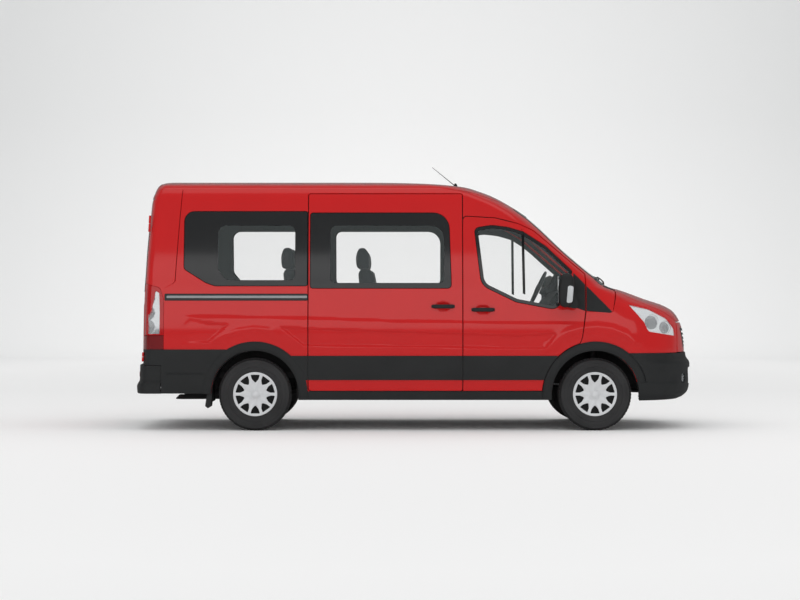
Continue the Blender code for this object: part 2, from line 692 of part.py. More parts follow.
def add_body(skins):
    """Fixed and hung panels of the body, with their panes and lamps."""
    strips = cladding_strips(skins)
    clad_wall = union(skins.wall, strips)
    clad_thin = union(skins.thin, strips)
    arches = [
        opening(circle(x, ARCH_Z, ARCH_RADIUS, 32)) for x in (FRONT_AXLE, REAR_AXLE)
    ]
    door = front_door_outline()
    sliding = sliding_door_outline()
    depth_low, depth_high = REAR_DOOR_DEPTH
    rear_door = along(rear_door_outline(), depth_low, depth_high)
    rear_opening = along(grown(rear_door_outline(), SHUT_GAP), depth_low, depth_high + 0.04)
    tail_lamp = side(tail_lamp_outline())
    lamp_opening = opening(tail_lamp_outline(), FIT)
    headlamp = side(headlamp_outline())
    headlamp_opening = opening(headlamp_outline(), FIT)
    bonnet = prism(bonnet_outline(), 2, NOSE_TOP + SHUT_GAP, 1.60)
    bonnet_opening = prism(grown(bonnet_outline(), SHUT_GAP), 2, NOSE_TOP, 1.60)
    screen = along(windscreen_outline(), SCREEN_REAR, FRONT_TIP)

    # Roof with its front and rear headers
    header_rear, header_front = HEADER_X
    roof_region = side([
        (REAR_TIP - 0.1, ROOF_REAR_EDGE), (header_rear, ROOF_REAR_EDGE),
        (header_front, HEADER_BOTTOM), (FRONT_AXLE, HEADER_BOTTOM),
        (FRONT_AXLE, ABOVE - 0.1), (REAR_TIP - 0.1, ABOVE - 0.1),
    ], -ROOF_HALF, ROOF_HALF)
    screen_rebate = common(skins.rebate, screen)
    screen_clear = along(grown(windscreen_outline(), -0.030), SCREEN_REAR, FRONT_TIP)
    roof = cut(common(skins.wall, roof_region), screen_rebate, screen_clear)
    node("roof", roof, "paint")
    sheet = along(grown(windscreen_outline(), -0.002), SCREEN_REAR, FRONT_TIP)
    node("windscreen", common(skins.pane, sheet), "glass")

    # Body sides
    roof_space = side([
        (REAR_TIP - 0.2, REAR_DOOR_TOP - 0.010), (header_rear, REAR_DOOR_TOP - 0.010),
        (header_front, HEADER_BOTTOM - FIT), (FRONT_AXLE + 0.1, HEADER_BOTTOM - FIT),
        (FRONT_AXLE + 0.1, ABOVE), (REAR_TIP - 0.2, ABOVE),
    ], -ROOF_HALF - FIT, ROOF_HALF + FIT)
    scuttle_space = box((FRONT_AXLE - 0.5, FRONT_TIP), (0.5, SCUTTLE_HALF + FIT), (1.00, 1.46))
    shared = cut(
        common(clad_wall, side(body_side_outline())), opening(door, SHUT_GAP), arches[1],
        roof_space, rear_opening, lamp_opening, screen_rebate, screen_clear, scuttle_space,
    )
    shared = union(shared, box(MUDFLAP_X, MUDFLAP_Y, (MUDFLAP_BOTTOM, QUARTER_BOTTOM + 0.030)))
    for height in DOOR_HINGE_HEIGHTS:
        arm = door_hinge_arm(height)
        shared = union(shared, common(arm, skins.space), cut(arm, door_hinge_reach()))
    for low, high in REAR_HINGE_HEIGHTS:
        shared = union(shared, rear_knuckle(low, (low + high) / 2, 0.050, 0.0))
    rail = box(
        (BUMPER_SPLIT + 0.035, SLIDING_REAR - 0.010), (RAIL_Y, RAIL_Y + 0.050), RAIL_HEIGHTS
    )
    quarter, quarter_pane = glazed(shared, skins, quarter_window(), side)
    right = union(cut(quarter, opening(sliding, SHUT_GAP)), rail)
    node("body_side_right", mirrored(right), "paint")
    node("quarter_glass_right", mirrored(quarter_pane), "glass")
    left, mid_pane = glazed(quarter, skins, mid_window(0.127), side)
    node("body_side_left", left, "paint")
    node("quarter_glass_left", quarter_pane, "glass")
    node("mid_glass_left", mid_pane, "glass")

    # Sliding door, on the right only
    panel = cut(common(clad_wall, side(sliding)), roof_space)
    panel = union(panel, handle(SLIDING_HANDLE))
    panel, pane = glazed(panel, skins, mid_window(0.127), side)
    node("sliding_door", mirrored(panel), "paint")
    node("sliding_door_glass", mirrored(pane), "glass")

    # Front doors
    panel, pane = glazed(common(clad_wall, side(door)), skins, front_door_window(), side)
    panel = union(panel, handle(FRONT_HANDLE))
    hinge = (FRONT_HINGE_X, FRONT_HINGE_Y, 1.0)
    add_pair("front_door", panel, "paint", hinge)
    add_pair("front_door_glass", pane, "glass", hinge)

    # Rear doors
    panel, pane = glazed(common(skins.wall, rear_door), skins, rear_window(), rear_place)
    for low, high in REAR_HINGE_HEIGHTS:
        panel = union(panel, rear_knuckle((low + high) / 2 + FIT, high, 0.0, 0.095))
    add_pair("rear_door", panel, "paint", REAR_HINGE)
    add_pair("rear_door_glass", pane, "glass", REAR_HINGE)

    # Lamps
    lamp = common(skins.wall, tail_lamp)
    add_pair("tail_lamp", cut(lamp, rear_opening), "tail_lamp")
    add_pair("headlamp", cut(common(skins.wall, headlamp), bonnet_opening), "lamp")

    # Nose, front wings, scuttle and bonnet
    wing = cut(
        common(clad_thin, side(fender_outline())), arches[0], bonnet_opening, headlamp_opening,
    )
    add_pair("fender", wing, "paint")
    nose = side([
        (NOSE_REAR + FIT, BUMPER_TOP), (FRONT_TIP, BUMPER_TOP), (FRONT_TIP, NOSE_TOP),
        (NOSE_REAR + FIT, NOSE_TOP),
    ], -1.1, 1.1)
    grille_hole = along(grille_outline(GRILLE), FRONT_AXLE + 0.5, FRONT_TIP + 0.1)
    node("front_panel", cut(common(skins.thin, nose), grille_hole), "paint")
    scuttle = side([
        (SCUTTLE_REAR, SCUTTLE_BOTTOM), (BONNET_REAR - SHUT_GAP, SCUTTLE_BOTTOM),
        (BONNET_REAR - SHUT_GAP, SCREEN_BOTTOM - FIT), (SCUTTLE_REAR, SCREEN_BOTTOM - FIT),
    ], -SCUTTLE_HALF, SCUTTLE_HALF)
    node("scuttle", common(skins.wall, scuttle), "black_plastic")
    inner = prism(grown(bonnet_outline(), -BONNET_STEP), 2, NOSE_TOP + SHUT_GAP, 1.60)
    lid = union(common(skins.skin, bonnet), common(skins.thin, inner))
    node("bonnet", lid, "paint", BONNET_HINGE)

    # Bumpers
    front = cut(common(skins.bumper, side(front_bumper_outline(), -1.2, 1.2)), *both_arches())
    lower_grille = along(grille_outline(LOWER_GRILLE), FRONT_AXLE + 0.5, FRONT_TIP + 0.1)
    node("front_bumper", cut(front, lower_grille), "black_plastic")
    low, high = REAR_BUMPER
    rear = side([
        (REAR_TIP - 0.10, low), (BUMPER_SPLIT - FIT, low), (BUMPER_SPLIT - FIT, high),
        (REAR_TIP - 0.10, high),
    ], -1.2, 1.2)
    node("rear_bumper", common(skins.bumper, rear), "black_plastic")


def grille_outline(sizes):
    top_half, bottom_half, top, bottom, top_radius, bottom_radius = sizes
    return rounded([
        (-top_half, top, top_radius), (top_half, top, top_radius),
        (bottom_half, bottom, bottom_radius), (-bottom_half, bottom, bottom_radius),
    ])


def handle(place):
    """A pull handle on a door's outer skin, from its front, rear and middle height."""
    rear, front, height = place
    half = HANDLE_HEIGHT / 2
    return prism([
        (rear, height - half / 2), (rear + 0.02, height - half), (front, height - half),
        (front, height + half / 2), (front - 0.02, height + half), (rear, height + half),
    ], 1, 0.970, HANDLE_OUT)


def door_hinge_reach():
    """The space of the front door's motion, in front of which the hinge arm meets its pillar."""
    return box((0.0, FRONT_HINGE_X + 0.115), (0.0, 1.2), (0.0, 2.0))


def door_hinge_arm(height):
    """A bent arm from the pillar, round the door's front edge, to the door's inner face."""
    root, tip = FRONT_HINGE_X + 0.115, FRONT_HINGE_X - 0.055
    plan = [
        (root + 0.040, 0.965), (root, 0.965), (root, HINGE_ARM_Y[1]), (tip, HINGE_ARM_Y[1]),
        (tip, 0.965), (tip - 0.030, 0.965), (tip - 0.030, HINGE_ARM_Y[0]),
        (root + 0.040, HINGE_ARM_Y[0]),
    ]
    return prism(plan, 2, height, height + 0.030)


def rear_axis(height):
    """The left rear door's hinge line at a height."""
    x, y, low = REAR_HINGE
    return Vector((x + REAR_LEAN[0] * (height - low), y + REAR_LEAN[1] * (height - low), height))


def rear_knuckle(low, high, forward, inward):
    """A hinge barrel with its strap, forward into the body or inward onto the door."""
    barrel = rod(rear_axis(low), rear_axis(high), HINGE_RADIUS, 12)
    middle = rear_axis((low + high) / 2)
    strap = box(
        (middle.x - 0.008, middle.x + max(forward, 0.004)),
        (middle.y - max(inward, 0.008), middle.y + (0.008 if forward else 0.0)),
        (low + 0.006, high - 0.006),
    )
    return union(barrel, strap)


def both_arches():
    """The front arches' cutters, left and right."""
    left = prism(circle(FRONT_AXLE, ARCH_Z, ARCH_RADIUS, 32), 1, 0.40, 1.40)
    return left, mirrored(left)


def rear_place(outline):
    return along(outline, REAR_TIP - 0.25, REAR_TIP + 0.30)


def add_pair(name, mesh, finish, origin=(0.0, 0.0, 0.0)):
    """A left piece and its mirror image on the right."""
    node(f"{name}_left", mesh, finish, origin)
    node(f"{name}_right", mirrored(mesh), finish, (origin[0], -origin[1], origin[2]))


def wheel_well(x, inner_y, outer_y):
    """The lining round a left wheel: half a drum with its inner wall."""
    outside = cylinder((x, (inner_y + outer_y) / 2, ARCH_Z), LINER_RADIUS + LINER, 1,
                       outer_y - inner_y, 28)
    inside = cylinder((x, inner_y + LINER + 0.5, ARCH_Z), LINER_RADIUS, 1, 1.0, 28)
    lower = box((x - 1, x + 1), (0, 1.5), (-0.5, FLOOR[0]))
    return cut(outside, inside, lower)


def both(mesh):
    return mesh, mirrored(mesh)


def add_structure(skins):
    """Floor, frame, bulkhead and what hangs below."""
    rear_drum = cylinder((REAR_AXLE, REAR_WELL_Y + LINER + 0.5, ARCH_Z), LINER_RADIUS, 1, 1.0, 28)
    front_cut = box((FRONT_AXLE - 0.495, FRONT_TIP), (FRAME_Y[1], 1.2), (0.4, 0.8))
    floor = box((REAR_TIP + 0.20, BULKHEAD_X[0] - FIT), (-FLOOR_HALF, FLOOR_HALF), FLOOR)
    floor = cut(floor, *both(rear_drum), *both(front_cut))
    floor = union(floor, *both(wheel_well(REAR_AXLE, REAR_WELL_Y, FLOOR_HALF)))
    node("floor_pan", floor, "trim")

    rail = box((REAR_TIP + 0.12, FRONT_TIP), FRAME_Y, FRAME_Z)
    frame = union(rail, mirrored(rail))
    for x in FRAME_BEAMS:
        frame = union(frame, box((x - 0.04, x + 0.04), (-0.46, 0.46), (0.500, FRAME_Z[1])))
    depth, half, low, high = NOSE_BEAM
    beam = box((FRONT_TIP - depth, FRONT_TIP), (-half, half), (low, high))
    for x in SILL_ARMS:
        arm = union(
            box((x - 0.03, x + 0.03), (0.51, 1.1), (0.315, 0.365)),
            box((x - 0.029, x + 0.029), (0.509, 0.56), (0.320, 0.50)),
        )
        frame = union(frame, *both(arm))
    beam = common(beam, hull_mesh(BUMPER_ROWS, -WALL - FIT, HULL_FOOT))
    node("underframe", union(common(frame, skins.space), beam), "steel")

    # Bulkhead, front wheel wells and radiator support
    front_drum = cylinder((FRONT_AXLE, WELL_Y + 0.5, ARCH_Z), LINER_RADIUS + 0.001, 1, 1.0, 28)
    bulkhead = box(BULKHEAD_X, (-BULKHEAD_HALF, BULKHEAD_HALF), (FLOOR[0], BULKHEAD_TOP))
    frame_space = box((0, FRONT_TIP), (-FRAME_Y[1] - FIT, FRAME_Y[1] + FIT), (0, FLOOR[1]))
    bulkhead = cut(cut(bulkhead, *both(front_drum)), frame_space)
    well = wheel_well(FRONT_AXLE, FRAME_Y[1] + FIT, FRONT_WELL_OUT)
    arm = box((FRONT_AXLE + 0.395, FRONT_TIP - 0.24), (FRAME_Y[1] + FIT, 0.580), (0.570, 0.650))
    support = cut(
        box((FRONT_TIP - 0.265, FRONT_TIP - 0.235), (-0.590, 0.590), (0.600, 1.000)),
        box((FRONT_TIP - 0.30, FRONT_TIP - 0.20), (-0.460, 0.460), (0.660, 0.940)),
    )
    hinge = prism([
        (BULKHEAD_X[0] + 0.01, 1.250), (BONNET_REAR + 0.075, 1.250), (BONNET_REAR + 0.075, 1.400),
        (BONNET_REAR + 0.045, 1.400), (BONNET_REAR + 0.045, 1.280), (BULKHEAD_X[0] + 0.01, 1.280),
    ], 1, *BONNET_ARM_Y)
    hinge = common(hinge, hull_mesh(HULL_ROWS, -THIN_WALL - FIT, HULL_FOOT, 2))
    parts = (*both(well), *both(arm), *both(hinge), support)
    node("front_structure", union(bulkhead, *parts), "steel")

    block = box((FRONT_AXLE - 0.02, FRONT_AXLE + 0.40), (-ENGINE_HALF, ENGINE_HALF),
                (SUBFRAME_Z[1] + FIT, ENGINE_TOP))
    node("engine_block", block, "casting")

    subframe = cut(
        box((FRONT_AXLE - 0.16, FRONT_AXLE + 0.26), (-SUBFRAME_HALF, SUBFRAME_HALF), SUBFRAME_Z),
        box((FRONT_AXLE - 0.06, FRONT_AXLE + 0.16), (-0.300, 0.300), (0.200, 0.340)),
    )
    post_y, post_z = (0.380, FRAME_Y[0] - FIT), (0.28, 0.50)
    post = box((FRONT_AXLE + 0.18, FRONT_AXLE + 0.25), post_y, post_z)
    back_post = box((FRONT_AXLE - 0.15, FRONT_AXLE - 0.08), post_y, post_z)
    lower_arm = prism(from_front((
        (-0.12, 0.400), (0.12, 0.400), (0.030, KINGPIN_Y + 0.02), (-0.030, KINGPIN_Y + 0.02),
    )), 2, 0.205, 0.245)
    subframe = union(subframe, *both(post), *both(back_post), *both(lower_arm))
    node("front_subframe", subframe, "steel")

    beam = cylinder((REAR_AXLE, 0.0, ARCH_Z - 0.03), 0.040, 1, REAR_TRACK - 0.159, 12)
    spindle = rod(
        (REAR_AXLE, REAR_TRACK / 2 - 0.1795, ARCH_Z),
        (REAR_AXLE, REAR_TRACK / 2 + WHEEL_FACE - FIT, ARCH_Z), SPINDLE_RADIUS, 12,
    )
    plate = cylinder((REAR_AXLE, REAR_TRACK / 2 - 0.0995, ARCH_Z), 0.075, 1, 0.04, 12)
    flat, eye, end = LEAF_REACH
    under, over, end_under, end_over = LEAF_HEIGHTS
    half_leaf = [
        (flat, under), (end, end_under), (end, FRAME_Z[0] - FIT), (eye, FRAME_Z[0] - FIT),
        (eye, end_over), (flat, over),
    ]
    leaf = prism(
        [(REAR_AXLE + x, z) for x, z in half_leaf]
        + [(REAR_AXLE - x, z) for x, z in reversed(half_leaf)],
        1, FRAME_Y[0] + 0.005, FRAME_Y[1] - 0.005,
    )
    node("rear_axle", union(beam, *both(spindle), *both(plate), *both(leaf)), "steel")

    low, high = TANK_X
    tank = prism(rounded([
        (low, TANK_BOTTOM, 0.04), (high, TANK_BOTTOM, 0.04),
        (high, FLOOR[0] - FIT, 0), (low, FLOOR[0] - FIT, 0),
    ]), 1, *TANK_Y)
    node("fuel_tank", tank, "black_plastic")
    pipe = rod((FRONT_AXLE - 0.30, PIPE_Y, PIPE_Z), (REAR_AXLE + 0.40, PIPE_Y, PIPE_Z), 0.028, 10)
    silencer = cylinder((DOOR_REAR - 1.0, PIPE_Y, 0.400), 0.085, 0, 0.55, 16)
    exhaust = union(pipe, silencer)
    for x, half, wide in ((DOOR_REAR - 1.0, 0.020, 0.020), (DOOR_REAR + 0.445, 0.015, 0.010)):
        hanger = box((x - half, x + half), (PIPE_Y - wide, PIPE_Y + wide), (PIPE_Z, FLOOR[0] - FIT))
        exhaust = union(exhaust, hanger)
    node("exhaust", exhaust, "steel")

    spare = turned([
        (0.340, -0.075), (0.340, 0.075), (0.310, 0.100), (0.220, 0.095), (0.200, 0.060),
        (0.0, 0.060), (0.0, -0.060), (0.200, -0.060), (0.220, -0.095), (0.310, -0.100),
    ], 0.0, segments=24)
    spare.transform(Matrix.Rotation(math.radians(90), 4, "X"))
    spare.transform(Matrix.Translation(SPARE_CENTRE))
    node("spare_wheel", spare, "tyre")


def window_prisms():
    """Cutters for the ten windows of a left wheel cover, about the wheel's centre."""
    vertices, faces = [], []
    for index in range(10):
        middle = math.tau * (index // 2) / 5 + (0.27 if index % 2 else -0.27) + math.pi / 2
        corners = [(0.128, 0.10), (0.128, -0.10), (0.178, -0.16), (0.178, 0.16)]
        start = len(vertices)
        for y in (-0.05, 0.15):
            for radius, turn in corners:
                angle = middle + turn
                vertices.append((radius * math.cos(angle), y, radius * math.sin(angle)))
        faces.append(tuple(start + i for i in range(4)))
        faces.append(tuple(start + i for i in range(4, 8)))
        for i in range(4):
            j = (i + 1) % 4
            faces.append((start + i, start + j, start + 4 + j, start + 4 + i))
    return mesh_from(vertices, faces)


def add_wheels():
    """Tyres and wheels at the four corners, and the front knuckles."""
    half = TYRE_WIDTH / 2
    bead = RIM_RADIUS + FIT
    tread = TYRE_RADIUS / math.cos(math.pi / WHEEL_SEGMENTS)
    tyre = turned([
        (tread, -half + 0.030), (tread, half - 0.030), (0.338, half - 0.008),
        (0.280, half), (bead, RIM_WIDTH / 2), (bead, -RIM_WIDTH / 2), (0.280, -half),
        (0.338, -half + 0.008),
    ], 0.0, segments=WHEEL_SEGMENTS)
    lip = RIM_WIDTH / 2
    rim = turned([
        (0.0, 0.072), (0.034, 0.072), (0.046, 0.060), (0.120, 0.062), (0.180, 0.070),
        (0.198, 0.084), (RIM_RADIUS, lip), (RIM_RADIUS, -lip), (0.204, -lip),
        (0.196, 0.045), (0.0, WHEEL_FACE),
    ], 0.0, segments=WHEEL_SEGMENTS)
    rim = cut(rim, window_prisms())
    for name, x, y in (
        ("front", FRONT_AXLE, FRONT_TRACK / 2), ("rear", REAR_AXLE, REAR_TRACK / 2),
    ):
        for mesh, label, finish in ((tyre, "tyre", "tyre"), (rim, "wheel", "cover")):
            placed = moved(mesh, x, y, TYRE_RADIUS)
            add_pair(f"{label}_{name}", placed, finish, (x, y, TYRE_RADIUS))

    spindle = rod(
        (FRONT_AXLE, KINGPIN_Y, ARCH_Z),
        (FRONT_AXLE, FRONT_TRACK / 2 + WHEEL_FACE - FIT, ARCH_Z), SPINDLE_RADIUS, 12,
    )
    disc = cylinder((FRONT_AXLE, FRONT_TRACK / 2 - 0.013, ARCH_Z), 0.140, 1, 0.024, 20)
    top = ARCH_Z + LINER_RADIUS - 0.004
    strut = rod((FRONT_AXLE, KINGPIN_Y, 0.245 + FIT), (FRONT_AXLE, KINGPIN_Y, top), 0.026, 12)
    origin = (FRONT_AXLE, KINGPIN_Y, ARCH_Z)
    add_pair("knuckle", union(strut, spindle, disc), "casting", origin)


def add_interior():
    """Dashboard, steering wheel and seats."""
    front = BULKHEAD_X[0] - FIT
    dash = prism([
        (front, 0.950), (front, 1.345), (front - 0.05, 1.385), (front - 0.27, 1.345),
        (front - 0.35, 1.240), (front - 0.36, 1.050), (front - 0.24, 0.860), (front - 0.10, 0.800),
    ], 1, -DASH_HALF, DASH_HALF)
    column_start = STEER_CENTRE + STEER_AXIS * (HUB_HALF + FIT)
    column = rod(column_start, column_start + STEER_AXIS * 0.20, 0.040, 12)
    node("dashboard", union(dash, column), "trim")

    radius, thick = WHEEL_RING
    ring = turned([
        (radius + thick * math.cos(math.tau * step / 5), thick * math.sin(math.tau * step / 5))
        for step in range(5)
    ], 0.0, segments=20)
    hub = cylinder((0, 0, 0), 0.060, 1, 2 * HUB_HALF, 12)
    wheel = union(ring, hub)
    for turn in (0, 90, 180):
        spoke = box((0.03, radius), (-0.008, 0.008), (-0.016, 0.016))
        spoke.transform(Matrix.Rotation(math.radians(turn), 4, "Y"))
        wheel = union(wheel, spoke)
    wheel.transform(Vector((0, 1, 0)).rotation_difference(STEER_AXIS).to_matrix().to_4x4())
    wheel.transform(Matrix.Translation(STEER_CENTRE))
    node("steering_wheel", wheel, "trim", tuple(STEER_CENTRE))

    for name, x, low, high, count in (
        ("driver_seat", FRONT_SEATS, 0.180, 0.700, 1),
        ("passenger_seat", FRONT_SEATS, -0.750, 0.050, 2),
        ("seat_row_2", SEAT_ROWS[0], -0.580, 0.840, 3),
        ("seat_row_3", SEAT_ROWS[1], -0.660, 0.660, 3),
    ):
        node(name, seat_row(x, low, high, count), "fabric")


def seat_row(x, low, high, count):
    """Seats side by side on one stand: x is at the foot of the backs."""
    width = (high - low) / count
    row = box((x + 0.06, x + 0.40), (low + 0.10, high - 0.10), (FLOOR[1] + FIT, SEAT_BASE))
    for index in range(count):
        left = low + index * width + 0.004
        right = left + width - 0.008
        cushion = prism([
            (x - 0.06, 0.945), (x + 0.47, 0.945), (x + 0.50, 0.990), (x + 0.47, 1.068),
            (x + 0.09, 1.030), (x - 0.06, 1.580), (x - 0.10, 1.600), (x - 0.17, 1.590),
        ], 1, left, right)
        middle = (left + right) / 2
        rest = prism([
            (x - 0.195, 1.625), (x - 0.105, 1.625), (x - 0.100, 1.760), (x - 0.140, 1.790),
            (x - 0.185, 1.780),
        ], 1, middle - 0.12, middle + 0.12)
        post = box((x - 0.15, x - 0.13), (middle - 0.05, middle + 0.05), (1.55, 1.70))
        row = union(row, cushion, rest, post)
    return row


def add_outside(skins):
    """Mirrors, grille and aerial."""
    clear = hull_mesh(HULL_ROWS, FIT)
    housing = side(rounded([
        (FRONT_AXLE - 0.3765, 1.190, 0.05), (FRONT_AXLE - 0.2305, 1.220, 0.04),
        (FRONT_AXLE - 0.2105, 1.500, 0.06), (FRONT_AXLE - 0.3565, 1.530, 0.05),
    ]), *MIRROR_Y)
    arm = side(from_front((
        (-0.300, 1.225), (-0.225, 1.225), (-0.225, 1.320), (-0.300, 1.320),
    )), 0.90, 1.10)
    hinge = (FRONT_HINGE_X, FRONT_HINGE_Y, 1.0)
    add_pair("mirror", cut(union(housing, arm), clear), "black_plastic", hinge)

    region = along(grown(grille_outline(GRILLE), -FIT), FRONT_TIP - 0.3, FRONT_TIP)
    grille = common(skins.thin, region)
    half, high = GRILLE_SLOT
    for level in GRILLE_SLOTS:
        slot = box((FRONT_TIP - 0.4, FRONT_TIP + 0.1), (-half, half), (level, level + high))
        grille = cut(grille, slot)
    node("grille", grille, "black_plastic")

    foot = Vector(AERIAL_FOOT)
    tip = foot + Vector(AERIAL_REACH)
    mast = cut(union(rod(foot, tip, 0.004, 6), cylinder(foot, 0.022, 2, 0.060, 12)), clear)
    node("antenna", mast, "black_plastic")


def build():
    for thing in list(bpy.data.objects):
        bpy.data.objects.remove(thing)
    skins = Skins()
    add_body(skins)
    add_structure(skins)
    add_wheels()
    add_interior()
    add_outside(skins)


build()
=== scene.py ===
"""Looks of the red minibus: smooth panels with their creases, glass, lamps, wheels and cabin,
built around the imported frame. +X forwards, +Y left, +Z up, in metres."""

import math

import bmesh
import bpy
import numpy as np
from mathutils import Matrix, Vector
from mathutils.geometry import delaunay_2d_cdt


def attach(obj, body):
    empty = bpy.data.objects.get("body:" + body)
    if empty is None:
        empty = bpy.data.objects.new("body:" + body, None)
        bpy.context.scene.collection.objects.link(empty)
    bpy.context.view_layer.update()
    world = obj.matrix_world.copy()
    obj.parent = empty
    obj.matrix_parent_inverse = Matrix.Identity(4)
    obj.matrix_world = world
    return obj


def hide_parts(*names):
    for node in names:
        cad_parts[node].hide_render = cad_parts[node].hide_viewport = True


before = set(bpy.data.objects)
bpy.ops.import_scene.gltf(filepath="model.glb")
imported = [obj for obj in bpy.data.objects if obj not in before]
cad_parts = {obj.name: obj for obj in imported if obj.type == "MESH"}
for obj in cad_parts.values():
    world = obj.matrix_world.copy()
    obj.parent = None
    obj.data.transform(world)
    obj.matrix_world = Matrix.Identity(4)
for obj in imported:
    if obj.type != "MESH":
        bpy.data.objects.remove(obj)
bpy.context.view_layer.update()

# Sizes shared with the CAD
FRONT_TIP, REAR_TIP = 2.7655, -2.7655
FRONT_AXLE, REAR_AXLE = 1.7425, -1.5575
ARCH_Z = 0.352
TYRE_RADIUS = 0.352
FRONT_TRACK, REAR_TRACK = 1.736, 1.759
ARCH_RADIUS, FLARE_RADIUS = 0.425, 0.510
SHUT_GAP = 0.0075
SILL_BOTTOM, DOOR_BOTTOM = 0.300, 0.385
MOULDING = (0.490, 0.725)
DOOR_REAR = 0.461
SLIDING_REAR = DOOR_REAR - 1.500
SLIDING_TOP = 2.300
BUMPER_SPLIT = REAR_TIP + 0.300
BUMPER_TOP, BUMPER_SIDE = 0.750, 0.467
NOSE_TOP, NOSE_REAR = 1.042, FRONT_AXLE + 0.832
BONNET_REAR = FRONT_AXLE + 0.2125
# Foot and top of the rear doors and of the windscreen, with their half widths there
DOOR_LEVELS, DOOR_HALVES = (0.660, 2.250), (0.905, 0.800)
SCREEN_LEVELS, SCREEN_HALVES = (1.412, 2.165), (0.800, 0.690)
SIDES = (("left", False), ("right", True))

# Height, distance in from the rear tip and from the front tip, half width, length of the
# rounded front in plan
BODY_ROWS = (
    (0.270, 0.066, 0.086, 0.975, 0.80), (0.450, 0.066, 0.066, 1.005, 0.80),
    (0.620, 0.066, 0.056, 1.022, 0.80), (0.780, 0.066, 0.056, 1.029, 0.80),
    (0.930, 0.067, 0.066, 1.029, 0.80), (1.060, 0.069, 0.106, 1.024, 0.79),
    (1.145, 0.070, 0.166, 1.018, 0.78), (1.205, 0.071, 0.266, 1.013, 0.74),
    (1.270, 0.072, 0.456, 1.008, 0.62), (1.325, 0.074, 0.606, 1.003, 0.50),
    (1.365, 0.076, 0.726, 1.000, 0.40), (1.400, 0.078, 0.836, 0.996, 0.32),
    (1.490, 0.084, 0.951, 0.985, 0.29), (1.735, 0.098, 1.246, 0.957, 0.28),
    (2.025, 0.121, 1.556, 0.915, 0.28), (2.130, 0.130, 1.690, 0.898, 0.30),
    (2.215, 0.138, 1.826, 0.882, 0.32), (2.270, 0.149, 1.921, 0.866, 0.36),
    (2.315, 0.166, 2.016, 0.845, 0.38), (2.350, 0.178, 2.111, 0.815, 0.40),
    (2.385, 0.193, 2.216, 0.760, 0.42), (2.405, 0.203, 2.346, 0.680, 0.46),
    (2.420, 0.216, 2.466, 0.560, 0.50), (2.435, 0.236, 2.696, 0.400, 0.50),
    (2.445, 0.266, 2.966, 0.240, 0.50), (2.450, 0.316, 3.266, 0.080, 0.50),
)
BUMPER_ROWS = (
    (0.273, 0.110, 0.160, 0.972, 0.80), (0.310, 0.030, 0.070, 0.985, 0.80),
    (0.370, 0.004, 0.016, 0.999, 0.80), (0.430, 0.002, 0.004, 1.006, 0.80),
    (0.480, 0.030, 0.000, 1.012, 0.80), (0.640, 0.036, 0.000, 1.030, 0.80),
    (0.700, 0.040, 0.034, 1.034, 0.80), (0.790, 0.050, 0.054, 1.036, 0.80),
)
REAR_ROUND, ROUND_POWER = 0.14, 2.5


def axle(rows):
    """Points whose lengths are counted from the front axle."""
    return [(FRONT_AXLE + row[0], *row[1:]) for row in rows]


# Materials
def colour(text):
    """An sRGB hex colour as linear red, green, blue, alpha."""
    channels = [int(text[i:i + 2], 16) / 255 for i in (0, 2, 4)]
    linear = [c / 12.92 if c <= 0.04045 else ((c + 0.055) / 1.055) ** 2.4 for c in channels]
    return (*linear, 1.0)


def add(tree, kind, links=(), **settings):
    """One shader node: settings are its properties or socket values, and each link joins a
    socket to another node's output, as (socket, node, output)."""
    made = tree.nodes.new(kind)
    for key, value in settings.items():
        if key.startswith("in_"):
            socket = key[3:]
            made.inputs[int(socket) if socket.isdigit() else socket.replace("_", " ")].default_value = value
        else:
            setattr(made, key, value)
    for socket, source, output in links:
        tree.links.new(source.outputs[output], made.inputs[socket])
    return made


def material(name, base, roughness, metallic=0.0, grain=None, mottle=0.0, **sockets):
    """A moulded, painted or cast surface. grain is (size in metres, height in metres) of its
    bumps; mottle is how far the colour wanders; sockets go onto the shader itself."""
    made = bpy.data.materials.new(name)
    made.use_nodes = True
    tree = made.node_tree
    shader = tree.nodes["Principled BSDF"]
    shader.inputs["Roughness"].default_value = roughness
    shader.inputs["Metallic"].default_value = metallic
    for key, value in sockets.items():
        shader.inputs[key.replace("_", " ")].default_value = value
    place = add(tree, "ShaderNodeTexCoord")
    patch = add(tree, "ShaderNodeTexNoise", [("Vector", place, "Object")], in_Scale=3.0, in_Detail=3.0)
    tones = add(tree, "ShaderNodeValToRGB", [("Fac", patch, "Fac")])
    dark = colour(base)
    tones.color_ramp.elements[0].position = 0.30
    tones.color_ramp.elements[1].position = 0.70
    tones.color_ramp.elements[0].color = (*[c * (1 - mottle) for c in dark[:3]], 1.0)
    tones.color_ramp.elements[1].color = (*[min(1.0, c * (1 + mottle)) for c in dark[:3]], 1.0)
    tree.links.new(tones.outputs["Color"], shader.inputs["Base Color"])
    if grain:
        size, height = grain
        bumps = add(tree, "ShaderNodeTexNoise", [("Vector", place, "Object")],
                    in_Scale=1.0 / size, in_Detail=2.0)
        bump = add(tree, "ShaderNodeBump", [("Height", bumps, "Fac")], in_Distance=height, in_Strength=1.0)
        tree.links.new(bump.outputs["Normal"], shader.inputs["Normal"])
    return made


# Solid red two-layer car paint, sprayed and cured: even colour under a clear mirror-smooth
# coat, with a faint orange peel that softens reflections
PAINT = material("sprayed_red_paint", "C2080B", 0.45, mottle=0.02, grain=(0.012, 0.00001),
                 Coat_Weight=1.0, Coat_Roughness=0.09, Coat_IOR=1.5, Specular_IOR_Level=0.2)
# Polypropylene bumper plastic, moulded with a leather-like grain: dull dark grey
GRAINED = material("moulded_polypropylene", "242627", 0.52, mottle=0.10, grain=(0.0022, 0.00012))
# Gloss black ABS trim: deep black with a clear reflection
GLOSS_BLACK = material("gloss_black_abs", "101112", 0.12, mottle=0.05, grain=(0.03, 0.00001))
